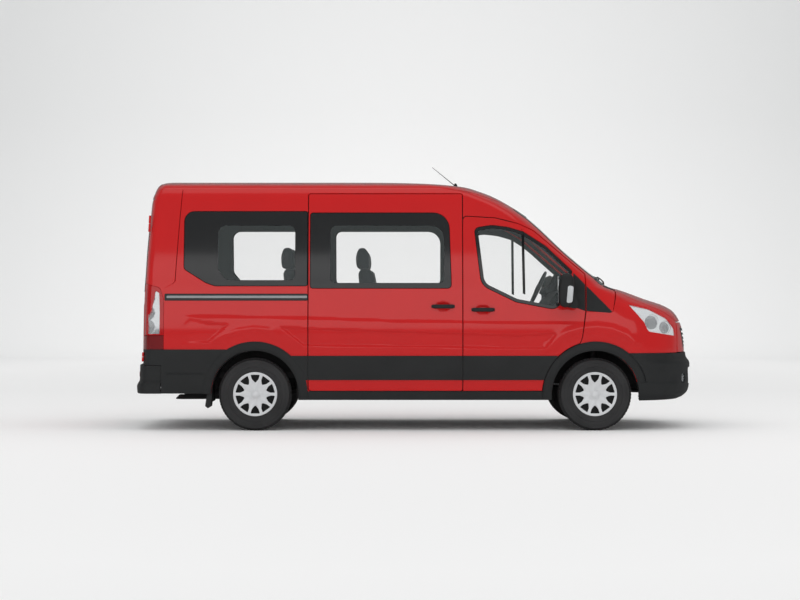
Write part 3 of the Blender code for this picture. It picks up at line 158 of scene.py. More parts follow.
# Black ceramic band fired onto the glass: black, polished as the glass over it
FRIT = material("fired_ceramic_band", "242526", 0.14, mottle=0.05, grain=(0.05, 0.00001),
                Coat_Weight=0.5, Coat_Roughness=0.09)
# Tyre tread and sidewall rubber with carbon black: dark grey, dusty and matt
RUBBER = material("carbon_black_rubber", "303031", 0.78, mottle=0.18, grain=(0.0030, 0.00018))
# Silver lacquered wheel cover in ABS: pale satin with fine flake
SILVER = material("silver_lacquered_abs", "DCDEE0", 0.30, 0.15, mottle=0.04, grain=(0.0012, 0.00002),
                  Coat_Weight=0.4, Coat_Roughness=0.12)
# Anodised aluminium rail, drawn lengthwise: grey with a soft sheen
ANODISED = material("anodised_aluminium", "9EA1A3", 0.36, 0.35, mottle=0.05, grain=(0.004, 0.00002))
# Dipped steel of the frame and axles: dull black
CHASSIS = material("dipped_chassis_steel", "1B1B1C", 0.62, 0.2, mottle=0.25, grain=(0.008, 0.0002))
# Cast iron of engine and knuckles: rough dark grey
CASTING = material("sand_cast_iron", "4A4A4C", 0.66, 0.75, mottle=0.25, grain=(0.0025, 0.0004))
# Soft-touch cabin plastic, moulded with a fine grain
CABIN = material("soft_touch_cabin_plastic", "3A3C3F", 0.66, mottle=0.08, grain=(0.0018, 0.00010))
# Needled felt floor covering: near black, without sheen
CARPET = material("needled_floor_felt", "262627", 0.97, mottle=0.15, grain=(0.0040, 0.0005))
# Vacuum-metallised reflector bowls: bright mirror
REFLECTOR = material("metallised_reflector", "E4E6E8", 0.08, 0.8, mottle=0.03, grain=(0.02, 0.00002))
# Satin-metallised hood round the bowls: almost white
HOOD = material("satin_metallised_hood", "E9ECEE", 0.25, 0.2, mottle=0.03, grain=(0.02, 0.00002))
# Turn lamp's lens with its bright bowl behind it: pale, polished, slightly grey
REPEATER = material("prismatic_turn_lens", "D3D6D8", 0.12, 0.2, mottle=0.25, grain=(0.006, 0.0006),
                    Coat_Weight=0.6, Coat_Roughness=0.03)
# Silvered mirror glass
MIRROR = material("silvered_mirror_glass", "D8DCDE", 0.02, 1.0)
# Woven polyester seat cover: dark blue-grey threads over and under each other
SEAT_CLOTH = material("woven_seat_cover", "2B2D33", 0.92, mottle=0.20, grain=(0.0016, 0.0003),
                      Sheen_Weight=0.4)


def clear(name, tint, share, gloss):
    """A thin clear sheet: mostly seen through, with a polished reflection on top. Share is how
    much of its own colour covers what is behind."""
    made = bpy.data.materials.new(name)
    made.use_nodes = True
    tree = made.node_tree
    shader = tree.nodes["Principled BSDF"]
    place = add(tree, "ShaderNodeTexCoord")
    haze = add(tree, "ShaderNodeTexNoise", [("Vector", place, "Object")], in_Scale=2.0, in_Detail=2.0)
    tones = add(tree, "ShaderNodeValToRGB", [("Fac", haze, "Fac")])
    base = colour(tint)
    tones.color_ramp.elements[0].color = (*[c * 0.94 for c in base[:3]], 1.0)
    tones.color_ramp.elements[1].color = base
    tree.links.new(tones.outputs["Color"], shader.inputs["Base Color"])
    shader.inputs["Roughness"].default_value = gloss
    shader.inputs["IOR"].default_value = 1.5
    shader.inputs["Alpha"].default_value = share
    made.surface_render_method = "BLENDED"
    return made


# Float glass, lightly tinted: nearly clear, with a thin reflection of the studio
GLASS = clear("tinted_float_glass", "AEB9B8", 0.10, 0.02)
# Polycarbonate lamp lens, hard-coated: clear as water
LENS = clear("coated_polycarbonate_lens", "E8EEF2", 0.07, 0.03)
# Red acrylic lens: deep red with a polished face
RED_LENS = material("red_acrylic_lens", "6E0A10", 0.10, mottle=0.10, grain=(0.006, 0.0003),
                    Coat_Weight=0.8, Coat_Roughness=0.03)
# Red acrylic round the clear part of a tail lamp, over the body colour
LAMP_RED = material("clear_red_acrylic", "A80A10", 0.10, mottle=0.06, grain=(0.006, 0.0002),
                    Coat_Weight=0.6, Coat_Roughness=0.03)


# Shapes in a plane
def arc(a, b, radius, start, end, segments):
    turns = [math.radians(start + (end - start) * step / segments) for step in range(segments + 1)]
    return [(a + radius * math.cos(turn), b + radius * math.sin(turn)) for turn in turns]


def circle(a, b, radius, segments=72):
    return arc(a, b, radius, 0, 360, segments)[:-1]


def rounded(corners, segments=6):
    """Corner rows of two coordinates and a radius, as an outline with round corners."""
    outline = []
    for index, (a, b, radius) in enumerate(corners):
        if radius == 0:
            outline.append((a, b))
            continue
        here = Vector((a, b))
        before = (Vector(corners[index - 1][:2]) - here).normalized()
        after = (Vector(corners[(index + 1) % len(corners)][:2]) - here).normalized()
        half = before.angle(after) / 2
        centre = here + (before + after).normalized() * radius / math.sin(half)
        start = here + before * radius / math.tan(half) - centre
        end = here + after * radius / math.tan(half) - centre
        first = math.degrees(math.atan2(start.y, start.x))
        sweep = (math.degrees(math.atan2(end.y, end.x)) - first + 180) % 360 - 180
        outline.extend(arc(centre.x, centre.y, radius, first, first + sweep, segments))
    return outline


def box(low_a, low_b, high_a, high_b, radius, segments=6):
    """A rectangle between two corners, with round corners."""
    return rounded([
        (low_a, low_b, radius), (high_a, low_b, radius), (high_a, high_b, radius), (low_a, high_b, radius),
    ], segments)


def cleaned(outline, shortest=1e-5):
    """An outline without points that lie on each other."""
    points = []
    for point in outline:
        if not points or (Vector(point) - Vector(points[-1])).length > shortest:
            points.append(tuple(point[:2]))
    if (Vector(points[0]) - Vector(points[-1])).length <= shortest:
        points.pop()
    return points


def grown(outline, distance):
    """An outline moved outwards all round, with mitred corners."""
    outline = cleaned(outline)
    count = len(outline)
    area = sum(
        outline[i - 1][0] * outline[i][1] - outline[i][0] * outline[i - 1][1] for i in range(count)
    )
    outwards = distance if area > 0 else -distance
    result = []
    for index in range(count):
        here = Vector(outline[index])
        before = (here - Vector(outline[index - 1])).normalized()
        after = (Vector(outline[(index + 1) % count]) - here).normalized()
        sides = Vector((before.y, -before.x)), Vector((after.y, -after.x))
        mitre = (sides[0] + sides[1]) / max(0.3, 1 + sides[0].dot(sides[1]))
        result.append(tuple(here + outwards * mitre))
    return result


def divided(outline, step):
    """The outline with points added so that no side is longer than the step."""
    points = []
    for index, start in enumerate(outline):
        end = outline[(index + 1) % len(outline)]
        count = max(1, math.ceil(math.dist(start, end) / step))
        for number in range(count):
            share = number / count
            points.append((start[0] + (end[0] - start[0]) * share, start[1] + (end[1] - start[1]) * share))
    return points


def inside(outline, points):
    """Which of the points lie inside the outline."""
    result = np.zeros(len(points), bool)
    x, y = points[:, 0], points[:, 1]
    for index, (ax, ay) in enumerate(outline):
        bx, by = outline[index - 1]
        if ay == by:
            continue
        crossing = (ay > y) != (by > y)
        result ^= crossing & (x < (bx - ax) * (y - ay) / (by - ay) + ax)
    return result


def to_line(line, points):
    """Distance of each point from a line of points."""
    best = np.full(len(points), 1e9)
    for (ax, ay), (bx, by) in zip(line[:-1], line[1:]):
        run = np.array((bx - ax, by - ay))
        share = np.clip(((points - (ax, ay)) @ run) / max(run @ run, 1e-12), 0, 1)
        best = np.minimum(best, np.hypot(*(points - (ax, ay) - share[:, None] * run).T))
    return best


# The hull
def rounding(across):
    """How far a rounded end still reaches, at a share of the way across it."""
    return (1 - np.clip(across, 0, 0.9998) ** ROUND_POWER) ** (1 / ROUND_POWER)


class Hull:
    """The smooth body form through its rows, seen from the side, above, front or rear."""

    def __init__(self, rows):
        table = np.array(rows)
        self.z, self.columns = table[:, 0], table[:, 1:]
        run = np.diff(self.z)[:, None]
        slope = np.diff(self.columns, axis=0) / run
        bends = np.zeros_like(self.columns)
        bends[0], bends[-1] = slope[0], slope[-1]
        before, after = slope[:-1], slope[1:]
        with np.errstate(divide="ignore", invalid="ignore"):
            mean = 2 * before * after / (before + after)
        bends[1:-1] = np.where(before * after > 0, mean, 0.0)
        self.bends = bends

    def at(self, z):
        """Rear end, front end, half width and nose length at each height."""
        z = np.clip(z, self.z[0], self.z[-1])
        row = np.clip(np.searchsorted(self.z, z) - 1, 0, len(self.z) - 2)
        run = self.z[row + 1] - self.z[row]
        t = ((z - self.z[row]) / run)[:, None]
        run = run[:, None]
        value = (
            (1 + 2 * t) * (1 - t) ** 2 * self.columns[row]
            + t * (1 - t) ** 2 * run * self.bends[row]
            + t * t * (3 - 2 * t) * self.columns[row + 1]
            + t * t * (t - 1) * run * self.bends[row + 1]
        )
        return REAR_TIP + value[:, 0], FRONT_TIP - value[:, 1], value[:, 2], value[:, 3]

    def half_at(self, x, z):
        rear, front, half, nose = self.at(z)
        ahead, behind = (x - front + nose) / nose, (rear + REAR_ROUND - x) / REAR_ROUND
        return half * rounding(np.where(x > front - nose, ahead, behind))

    def side(self, points):
        x, z = points.T
        return np.stack((x, self.half_at(x, z), z), 1)

    def top(self, points):
        x, y = points.T
        low, high = np.full(len(x), 0.85), np.full(len(x), self.z[-1])
        for _ in range(26):
            middle = (low + high) / 2
            rear, front, _, _ = self.at(middle)
            within = (x < front) & (x > rear) & (np.abs(y) < self.half_at(x, middle))
            low, high = np.where(within, middle, low), np.where(within, high, middle)
        return np.stack((x, y, low), 1)

    def front(self, points):
        y, z = points.T
        _, front, half, nose = self.at(z)
        return np.stack((front - nose + nose * rounding(np.abs(y) / half), y, z), 1)

    def rear(self, points):
        y, z = points.T
        rear, _, half, _ = self.at(z)
        return np.stack((rear + REAR_ROUND - REAR_ROUND * rounding(np.abs(y) / half), y, z), 1)


BODY = Hull(BODY_ROWS)
BUMPER = Hull(BUMPER_ROWS)
LEFT, UP, FRONT, REAR = (0, 1, 0), (0, 0, 1), (1, 0, 0), (-1, 0, 0)


def step_up(distance, width):
    """A soft step from 0 to 1 about a distance of 0."""
    t = np.clip(distance / width + 0.5, 0, 1)
    return t * t * (3 - 2 * t)


# Pressed forms of the side, as length and height: sunk fields below the shoulder band, and
# crests over the wheels
SUNK_FIELDS = (
    (0.0100, 0.024, rounded([
        (-1.335, 1.014, 0.01), (-1.034, 0.999, 0.3), (-0.1515, 0.970, 0.5), (0.993, 0.932, 0.3),
        (1.381, 0.956, 0.012), (1.333, 0.878, 0.03), (1.262, 0.786, 0.05), (-0.1515, 0.806, 0.5),
        (-1.034, 0.815, 0.3), (-1.092, 0.820, 0.05),
    ])),
    (0.0090, 0.024, rounded([
        (-2.188, 1.096, 0.03), (-2.043, 1.060, 0.2), (-1.791, 1.036, 0.010), (-2.004, 0.849, 0.05),
        (-2.300, 0.836, 0.05), (-2.360, 0.93, 0.05),
    ])),
)
SHOULDER = ((-2.237, 1.111), (-1.034, 1.092), (-0.1515, 1.062), (0.80, 1.050), (1.619, 1.043))
CRESTS = (
    (0.0050, 0.030, [(-1.95, 0.868), (-1.85, 0.925), (-1.72, 0.968), (-1.56, 0.990), (-1.42, 0.975)]),
    (0.0100, 0.045, [
        (1.270, 0.800), (1.333, 0.835), (1.400, 0.905), (1.480, 0.955), (1.600, 0.990),
        (1.760, 1.005), (1.900, 0.985), (2.030, 0.930), (2.120, 0.860),
    ]),
)
SHOULDER_DEPTH = 0.0090
# Half length, half height and depth of the dimple behind a handle
DIMPLE_LENGTH, DIMPLE_HEIGHT, DIMPLE_DEPTH = 0.066, 0.042, 0.013
# Handles as rear end, front end and height
HANDLES = (
    (DOOR_REAR + 0.066, DOOR_REAR + 0.319, 1.172), (DOOR_REAR - 0.322, DOOR_REAR - 0.069, 1.204),
)


def pressing(points, handles=HANDLES[:1]):
    """How far the side's pressed forms stand out."""
    height = np.zeros(len(points))
    x, z = points.T
    line_x, line_z = np.array(SHOULDER).T
    edge = np.interp(x, line_x, line_z)
    fade = step_up(x + 2.16, 0.30) * step_up(1.56 - x, 0.25)
    height += SHOULDER_DEPTH * fade * (1 - step_up(z - edge, 0.030)) * step_up(z - 0.80, 0.35)
    for depth, width, field in SUNK_FIELDS:
        closed = list(field) + [field[0]]
        distance = to_line(closed, points) * np.where(inside(field, points), 1, -1)
        height -= depth * step_up(distance - width / 2, width) * step_up(x + 2.13, 0.30)
    for rise, width, line in CRESTS:
        height += rise * np.exp(-(to_line(line, points) / width) ** 2)
    for x_rear, x_front, z_middle in handles:
        away = np.hypot((x - (x_rear + x_front) / 2) / DIMPLE_LENGTH, (z - z_middle) / DIMPLE_HEIGHT)
        height -= DIMPLE_DEPTH * (1 - step_up(away - 0.90, 0.45))
    return height


def on_side(handles=HANDLES[:1]):
    """Places a point of the left side's outline, as length and height, on the pressed body."""
    def place(points):
        spot = BODY.side(points)
        spot[:, 1] += pressing(points, handles)
        return spot
    return place


def lifted(place, lift, outwards):
    """The same surface, standing out from itself by the lift."""
    def moved(points):
        return place(points) + lift * surface_normals(place, points, outwards)
    return moved


class Wrap:
    """One end of a hull unrolled: s runs round both corners from the middle, at each height."""

    def __init__(self, hull, end):
        self.hull, self.end = hull, end
        turn = np.linspace(0, math.pi / 2, 400)
        self.a, self.b = np.cos(turn) ** (2 / ROUND_POWER), np.sin(turn) ** (2 / ROUND_POWER)
        length = 0.80 if end > 0 else REAR_ROUND
        steps = np.hypot(np.diff(self.a) * length, np.diff(self.b) * 1.02)
        self.s = np.concatenate(([0], np.cumsum(steps)))

    def place(self, points):
        s, z = points.T
        rear, front, half, nose = self.hull.at(z)
        along = np.abs(s)
        a, b = np.interp(along, self.s, self.a), np.interp(along, self.s, self.b)
        past = np.maximum(along - self.s[-1], 0)
        if self.end > 0:
            x = front - nose + nose * a - past
        else:
            x = rear + REAR_ROUND - REAR_ROUND * a + past
        return np.stack((x, np.sign(s) * half * b, z), 1)

    def outwards(self, spots):
        return np.stack((spots[:, 0] - self.end, spots[:, 1], spots[:, 2] * 0), 1)

    def from_side(self, points):
        """Points of a side view, as length and height, in the unrolled view."""
        x, z = np.array(points).T
        rear, front, half, nose = self.hull.at(z)
        if self.end > 0:
            across, length = (x - front + nose) / nose, nose
        else:
            across, length = (rear + REAR_ROUND - x) / REAR_ROUND, REAR_ROUND
        s = np.interp(np.clip(across, 0, 1), self.a[::-1], self.s[::-1]) - np.minimum(across, 0) * length
        return [(float(i), float(j)) for i, j in zip(s, z)]

    def from_end(self, points):
        """Points of a front or rear view, as width and height, in the unrolled view."""
        y, z = np.array(points).T
        half = self.hull.at(z)[2]
        s = np.sign(y) * np.interp(np.abs(y) / half, self.b, self.s)
        return [(float(i), float(j)) for i, j in zip(s, z)]


def both_ways(left):
    """An outline from its left half, which starts and ends on the middle."""
    return left + [(-a, b) for a, b in reversed(left)]


def mirrored(left, first=0):
    """An outline seen from above from its left half, which ends on the middle. First is the
    first of its points that has a twin on the right."""
    return left + [(x, -y) for x, y in reversed(left[first:-1])]


# Rules of a region, by what lies inside each of its outlines
def first_only(hits):
    """Inside the first outline and outside all others."""
    return hits[0] & ~np.any(hits[1:], axis=0)


def first_two(hits):
    """Inside the first two outlines and outside all others."""
    return hits[0] & hits[1] & ~np.any(hits[2:], axis=0)


def on_strip(hits):
    """On the carrier, inside the moulding's strip or a flare, and outside all others."""
    return hits[0] & np.any(hits[1:4], axis=0) & ~np.any(hits[4:], axis=0)


# Panels
def surface_normals(place, points, outwards):
    """Normals of a surface at its points, on the side that outwards says."""
    reach = 0.002
    along = place(points + (reach, 0)) - place(points - (reach, 0))
    across = place(points + (0, reach)) - place(points - (0, reach))
    normals = np.cross(along, across)
    normals /= np.maximum(np.linalg.norm(normals, axis=1), 1e-12)[:, None]
    wanted = outwards(place(points)) if callable(outwards) else np.array(outwards)
    return normals * np.where(np.sum(normals * wanted, axis=1) < 0, -1, 1)[:, None]


def triangulated(outlines, keep, spacing):
    """Points and triangles of a region: keep says from each outline's inside whether a point
    belongs to it. The outlines may cross."""
    rings = [divided(cleaned(outline), spacing) for outline in outlines]
    points, edges = [], []
    for ring in rings:
        start = len(points)
        points += ring
        edges += [(start + i, start + (i + 1) % len(ring)) for i in range(len(ring))]
    border = np.array(points)
    low, high = border.min(0), border.max(0)
    a = np.arange(low[0] + spacing / 2, high[0], spacing)
    b = np.arange(low[1] + spacing / 2, high[1], spacing)
    grid = np.stack([axis.ravel() for axis in np.meshgrid(a, b)], 1)
    if len(grid):
        grid = grid[keep([inside(ring, grid) for ring in rings])]
    cells = {tuple(cell) for cell in np.floor(border / (spacing * 0.45)).astype(int)}
    near = [
        any((i + di, j + dj) in cells for di in (-1, 0, 1) for dj in (-1, 0, 1))
        for i, j in np.floor(grid / (spacing * 0.45)).astype(int)
    ]
    grid = grid[~np.array(near, bool)] if len(grid) else grid
    corners = [Vector(p) for p in points] + [Vector(p) for p in grid]
    found, _, triangles, _, _, _ = delaunay_2d_cdt(corners, edges, [], 0, 1e-7, False)
    found = np.array([tuple(p) for p in found])
    triangles = np.array([t for t in triangles if len(t) == 3])
    centres = found[triangles].mean(1)
    triangles = triangles[keep([inside(ring, centres) for ring in rings])]
    corner = found[triangles]
    turn = np.cross(corner[:, 1] - corner[:, 0], corner[:, 2] - corner[:, 0])
    triangles = np.where((turn < 0)[:, None], triangles[:, ::-1], triangles)[np.abs(turn) > 1e-12]
    used, triangles = np.unique(triangles, return_inverse=True)
    return found[used], triangles.reshape(-1, 3)


def border_loops(triangles):
    """Closed loops of border points, the region on their left."""
    sides = {}
    for a, b, c in triangles:
        for side in ((a, b), (b, c), (c, a)):
            sides[side] = True
    following = {a: b for a, b in sides if (b, a) not in sides}
    loops = []
    while following:
        start, here = next(iter(following.items()))
        loop = [start]
        del following[start]
        while here != start and here in following:
            loop.append(here)
            here = following.pop(here)
        if here == start:
            loops.append(loop)
    return loops


def linked(name, data):
    """A new object of the scene."""
    thing = bpy.data.objects.new(name, data)
    bpy.context.scene.collection.objects.link(thing)
    return thing


def made_mesh(name, vertices, faces, normals, finish):
    mesh = bpy.data.meshes.new(name)
    mesh.from_pydata([tuple(v) for v in vertices], [], [tuple(int(i) for i in f) for f in faces])
    mesh.update()
    mesh.shade_smooth()
    mesh.normals_split_custom_set_from_vertices([tuple(n) for n in normals])
    mesh.materials.append(finish)
    return linked(name, mesh)


def unit(vectors):
    """The vectors, one to a row, at a length of 1."""
    return vectors / np.maximum(np.linalg.norm(vectors, axis=1), 1e-12)[:, None]


def panel(name, outlines, place, outwards, finish, keep=first_only, spacing=0.025, depth=0.022,
          edge=0.003, back=True, flip=False):
    """A pressed or moulded sheet: its face follows place over the region, its border is rolled
    by edge and turned in by depth, and its back is closed."""
    flat, triangles = triangulated(outlines, keep, spacing)
    normals = surface_normals(place, flat, outwards)
    spots = place(flat)
    corners = spots[triangles]
    facing = np.cross(corners[:, 1] - corners[:, 0], corners[:, 2] - corners[:, 0])
    turned_over = np.sum(facing * normals[triangles[:, 0]]) < 0
    vertices, faces, shading = [spots], [triangles], [normals]
    total = len(spots)
    # Rows of the rolled border: how far out, how far down, shares of the normal and of sideways
    turns = (0.52, 1.05, math.pi / 2)
    levels = [(math.sin(t) * edge, (1 - math.cos(t)) * edge, math.cos(t), math.sin(t)) for t in turns]
    levels.append((edge, depth, 0.0, 1.0))
    last_rows = []
    for loop in map(np.array, border_loops(triangles)):
        here, before, after = flat[loop], flat[np.roll(loop, 1)], flat[np.roll(loop, -1)]
        first, second = here - before, after - here
        first /= np.linalg.norm(first, axis=1)[:, None]
        second /= np.linalg.norm(second, axis=1)[:, None]
        first, second = first[:, ::-1] * (1, -1), second[:, ::-1] * (1, -1)
        bend = 1 + np.sum(first * second, axis=1)
        mitre = (first + second) / np.maximum(bend, 0.5)[:, None]
        normal = normals[loop]
        lateral = unit(place(here + mitre * 1e-3) - place(here - mitre * 1e-3))
        lateral = unit(lateral - normal * np.sum(lateral * normal, axis=1)[:, None])
        reach = np.minimum(np.linalg.norm(mitre, axis=1), 1.6)[:, None]
        previous = loop
        for outward, down, n_share, l_share in levels:
            row = spots[loop] + lateral * reach * outward - normal * down
            index = np.arange(total, total + len(loop))
            vertices.append(row)
            shading.append(normal * n_share + lateral * l_share)
            beside, above = np.roll(index, -1), np.roll(previous, -1)
            faces.append(np.stack((previous, index, beside), 1))
            faces.append(np.stack((previous, beside, above), 1))
            total += len(loop)
            previous = index
        last_rows.append((loop, row))
    if back:
        # The back closes the turned-in border with a plain sheet
        back_spots = spots - normals * depth
        for loop, row in last_rows:
            back_spots[loop] = row
        vertices.append(back_spots)
        shading.append(-normals)
        faces.append(triangles[:, ::-1] + total)
    vertices, shading, faces = np.concatenate(vertices), np.concatenate(shading), np.concatenate(faces)
    if turned_over:
        faces = faces[:, ::-1]
    if flip:
        vertices, shading, faces = vertices * (1, -1, 1), shading * (1, -1, 1), faces[:, ::-1]
    return made_mesh(name, vertices, faces, shading, finish)


def finished(piece, body, slot, *nodes):
    """Says which body carries a piece and the CAD nodes that it stands for, which it hides. The slot, its
    finish, is not used.
    """
    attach(piece, body)
    if nodes:
        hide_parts(*nodes)
    return piece


def part(name, outlines, place, outwards, finish, body, slot, *nodes, **form):
    """A panel that is finished: form holds the panel's further settings."""
    return finished(panel(name, outlines, place, outwards, finish, **form), body, slot, *nodes)


def side_part(name, outlines, lift, finish, slot, *nodes, body="body", **form):
    """A part that follows the plain side at a distance from it."""
    return part(name, outlines, lifted(BODY.side, lift, LEFT), LEFT, finish, body, slot, *nodes, **form)


# Lines of the panels. EDGE is the radius of their rolled edges
EDGE = 0.0035
ROOF_SEAM, ROOF_REAR = 2.345, 2.385
# The seam between roof and side: level, then down to the windscreen's upper corner
SEAM = ((0.86, 2.215), (0.70, 2.270), (0.58, 2.310), (0.40, ROOF_SEAM))
SCUTTLE_EDGE = [(x, 0.79) for x in (1.9505, 1.92, 1.88, 1.84)]
BONNET_EDGE = [
    (BONNET_REAR, 0.800),
    *axle(((0.400, 0.800), (0.560, 0.800), (0.660, 0.752), (0.720, 0.715), (0.780, 0.665))), (2.571, 0.603),
]
# Foot of the fixed body's rear end, of its quarter, and of the tail lamps
REAR_FOOT, QUARTER_FOOT, LAMP_FOOT = 0.634, 0.360, 0.786
LAMP_FRONT, LAMP_TOP = REAR_TIP + 0.326, 1.430
ARCHES = [circle(x, ARCH_Z, ARCH_RADIUS) for x in (FRONT_AXLE, REAR_AXLE)]
FLARES = [circle(x, ARCH_Z, FLARE_RADIUS, 96) for x in (FRONT_AXLE, REAR_AXLE)]
# The joint of the rear pillar's cover, a slot about 4 mm wide as length and height
PILLAR_JOINT = (
    (-2.272, 2.338), (-2.282, 2.200), (-2.295, 2.030), (-2.322, 1.615), (-2.332, 1.450), (-2.352, 1.425),
    (-2.430, 1.385),
)
PILLAR_SLOT = [
    *[(x - 0.0022, z) for x, z in PILLAR_JOINT],
    *[(x + 0.0022, z + 0.002) for x, z in reversed(PILLAR_JOINT)],
]
# Half width at the top and at the foot, height of both, radius of the upper and lower corners
GRILLE = (0.560, 0.480, 0.990, 0.800, 0.03, 0.05)
LOWER_GRILLE = (0.520, 0.460, 0.600, 0.430, 0.03, 0.04)


def front_door_line():
    upper = axle(((-0.2235, 1.626), (-0.0975, 1.519), (-0.0975, 1.163), (-0.1315, 0.903)))
    return rounded([
        (DOOR_REAR, DOOR_BOTTOM, 0), (DOOR_REAR, 2.081, 0.04),
        (FRONT_AXLE - 0.9655, 2.062, 0.20), (FRONT_AXLE - 0.7435, 2.006, 0.15),
        (FRONT_AXLE - 0.5955, 1.941, 0.15), (*upper[0], 0),
    ]) + upper[1:] + arc(FRONT_AXLE, ARCH_Z, FLARE_RADIUS + SHUT_GAP, 107.2, 176.3, 24)


def sliding_door_line():
    return rounded([
        (SLIDING_REAR, DOOR_BOTTOM, 0.03), (SLIDING_REAR, SLIDING_TOP, 0.015),
        (DOOR_REAR - SHUT_GAP, SLIDING_TOP, 0.015), (DOOR_REAR - SHUT_GAP, DOOR_BOTTOM, 0.02),
    ])


def screen_line():
    (low, high), (wide, narrow) = SCREEN_LEVELS, SCREEN_HALVES
    return rounded([(wide, low, 0.03), (narrow, high, 0.08), (-narrow, high, 0.08), (-wide, low, 0.03)])


def seen_from(view, mapping, points):
    """Points laid on the body by one mapping, as they look from the side, above or ahead."""
    spots = mapping(np.array(points, float))
    axes = {"side": (0, 2), "top": (0, 1), "front": (1, 2)}[view]
    return [tuple(map(float, spot)) for spot in spots[:, axes]]


def beside_door(heights):
    """Width and height of points on the fixed body's edge beside a rear door."""
    return list(zip(np.interp(heights, DOOR_LEVELS, DOOR_HALVES) + SHUT_GAP, heights))


def rear_edge(view):
    """The fixed body's edge beside a rear door, from its foot to the roof's seam."""
    line = beside_door(np.linspace(REAR_FOOT, 2.2575, 24)) + [(0.800, 2.300), (0.790, ROOF_SEAM)]
    return seen_from(view, BODY.rear, line)


def screen_edge(view):
    """The windscreen's left edge from its foot to the middle of its top."""
    line = [p for p in divided(grown(screen_line(), 0.004), 0.05) if p[0] > 0.60]
    line.sort(key=lambda p: (round(p[1], 3), -p[0]))
    return seen_from(view, BODY.front, line)


def body_side_line():
    """The fixed side, with the windscreen's edge in front and the rear doors' edge behind."""
    front_foot = axle((
        (-0.508, SILL_BOTTOM), (-0.530, 0.400), (-0.300, 1.000), (-0.150, 1.152), (0.1665, 1.152),
    ))
    return [
        (BUMPER_SPLIT, REAR_FOOT), (BUMPER_SPLIT, QUARTER_FOOT), (REAR_AXLE - 0.20, QUARTER_FOOT),
        (REAR_AXLE + 0.20, SILL_BOTTOM), *front_foot, *seen_from("side", BODY.top, SCUTTLE_EDGE),
        *screen_edge("side"), *SEAM, *reversed(rear_edge("side")),
    ]


def wing_line():
    return [
        *axle(((-0.0905, 1.152), (-0.0905, 1.145), (-0.1245, 0.903))),
        *arc(FRONT_AXLE, ARCH_Z, FLARE_RADIUS, 107.0, 176.3, 24),
        *axle(((-0.508, 0.385), (-0.508, SILL_BOTTOM), (0.0, SILL_BOTTOM))),
        (FRONT_AXLE + 0.10, BUMPER_SIDE),
        *arc(FRONT_AXLE, ARCH_Z, FLARE_RADIUS, 13.0, 51.3, 12),
        (NOSE_REAR, BUMPER_TOP), (NOSE_REAR, NOSE_TOP + 0.004),
        *reversed(seen_from("side", BODY.top, divided(BONNET_EDGE, 0.03)[:-20])),
        *axle(((0.2080, 1.300), (0.1665, 1.152))),
    ]


def bonnet_line():
    across = [(0.603 * step / 8, NOSE_TOP + SHUT_GAP) for step in range(7, -1, -1)]
    return mirrored(BONNET_EDGE + seen_from("top", BODY.front, across))


def headlamp_line():
    return rounded(axle((
        (0.3235, 1.224, 0), (0.5275, 1.180, 0.20), (0.7175, 1.086, 0.10), (0.7975, 0.990, 0.05),
        (0.8075, 0.915, 0.01), (0.5175, 0.960, 0.05), (0.4775, 1.050, 0.05),
    )))


def tail_lamp_line(low=LAMP_FOOT, high=LAMP_TOP):
    """A tail lamp from its foot to its top, its rear edge beside the door."""
    rear = seen_from("side", BODY.rear, beside_door(np.linspace(low, high, 14)))
    if high < LAMP_TOP:
        return [(LAMP_FRONT, low), (LAMP_FRONT, high), *reversed(rear)]
    corners = [(LAMP_FRONT, low, 0), (LAMP_FRONT, 1.275, 0.05), (LAMP_FRONT - 0.040, 1.385, 0.03)]
    return rounded(corners + [(x, z, 0) for x, z in reversed(rear)])


def mid_window_line():
    """The pane between doors and quarter, and its clear opening."""
    front = DOOR_REAR - SHUT_GAP - 0.127
    return rounded([
        (SLIDING_REAR + 0.013, 1.377, 0.03), (SLIDING_REAR + 0.013, 2.118, 0.03),
        (front, 2.118, 0.16), (front + 0.024, 1.377, 0.04),
    ]), rounded([
        (SLIDING_REAR + 0.211, 1.431, 0.05), (SLIDING_REAR + 0.211, 1.990, 0.06),
        (front - 0.049, 1.990, 0.13), (front - 0.049, 1.431, 0.05),
    ])


def quarter_window_line():
    front, rear = SLIDING_REAR - 0.010, REAR_TIP + 0.500
    return rounded([
        (front, 1.400, 0.02), (front, 2.132, 0.02), (rear + 0.015, 2.132, 0.10),
        (rear + 0.015, 1.566, 0.05), (rear + 0.230, 1.431, 0.10), (rear + 0.319, 1.400, 0.05),
    ]), rounded([
        (front - 0.120, 1.458, 0.05), (front - 0.120, 1.990, 0.06),
        (rear + 0.347, 1.990, 0.08), (rear + 0.347, 1.560, 0.08), (rear + 0.430, 1.458, 0.08),
    ])


def door_window_line():
    frame_line = rounded(axle((
        (-1.1515, 1.951, 0.03), (-1.0035, 1.975, 0.20), (-0.8555, 1.957, 0.20),
        (-0.7065, 1.914, 0.15), (-0.4835, 1.774, 0), (-0.2425, 1.542, 0.01),
        (-0.3725, 1.190, 0.08), (-0.7615, 1.264, 0.10), (-1.0865, 1.422, 0.12),
    )))
    return grown(frame_line, 0.022), grown(frame_line, -0.012)


def rear_door_line():
    (low, high), (wide, narrow) = DOOR_LEVELS, DOOR_HALVES
    return rounded([(0.005, low, 0), (wide, low, 0.03), (narrow, high, 0.06), (0.005, high, 0)])


def rear_window_line():
    pane = rounded([(0.060, 1.340, 0.05), (0.770, 1.340, 0.08), (0.700, 2.060, 0.10), (0.060, 2.060, 0.05)])
    return pane, grown(pane, -0.050)


def less(first, *others):
    """A region's outlines: the first, with the others cut out of it, ready for rolled edges."""
    return [grown(first, -EDGE)] + [grown(other, EDGE) for other in others]


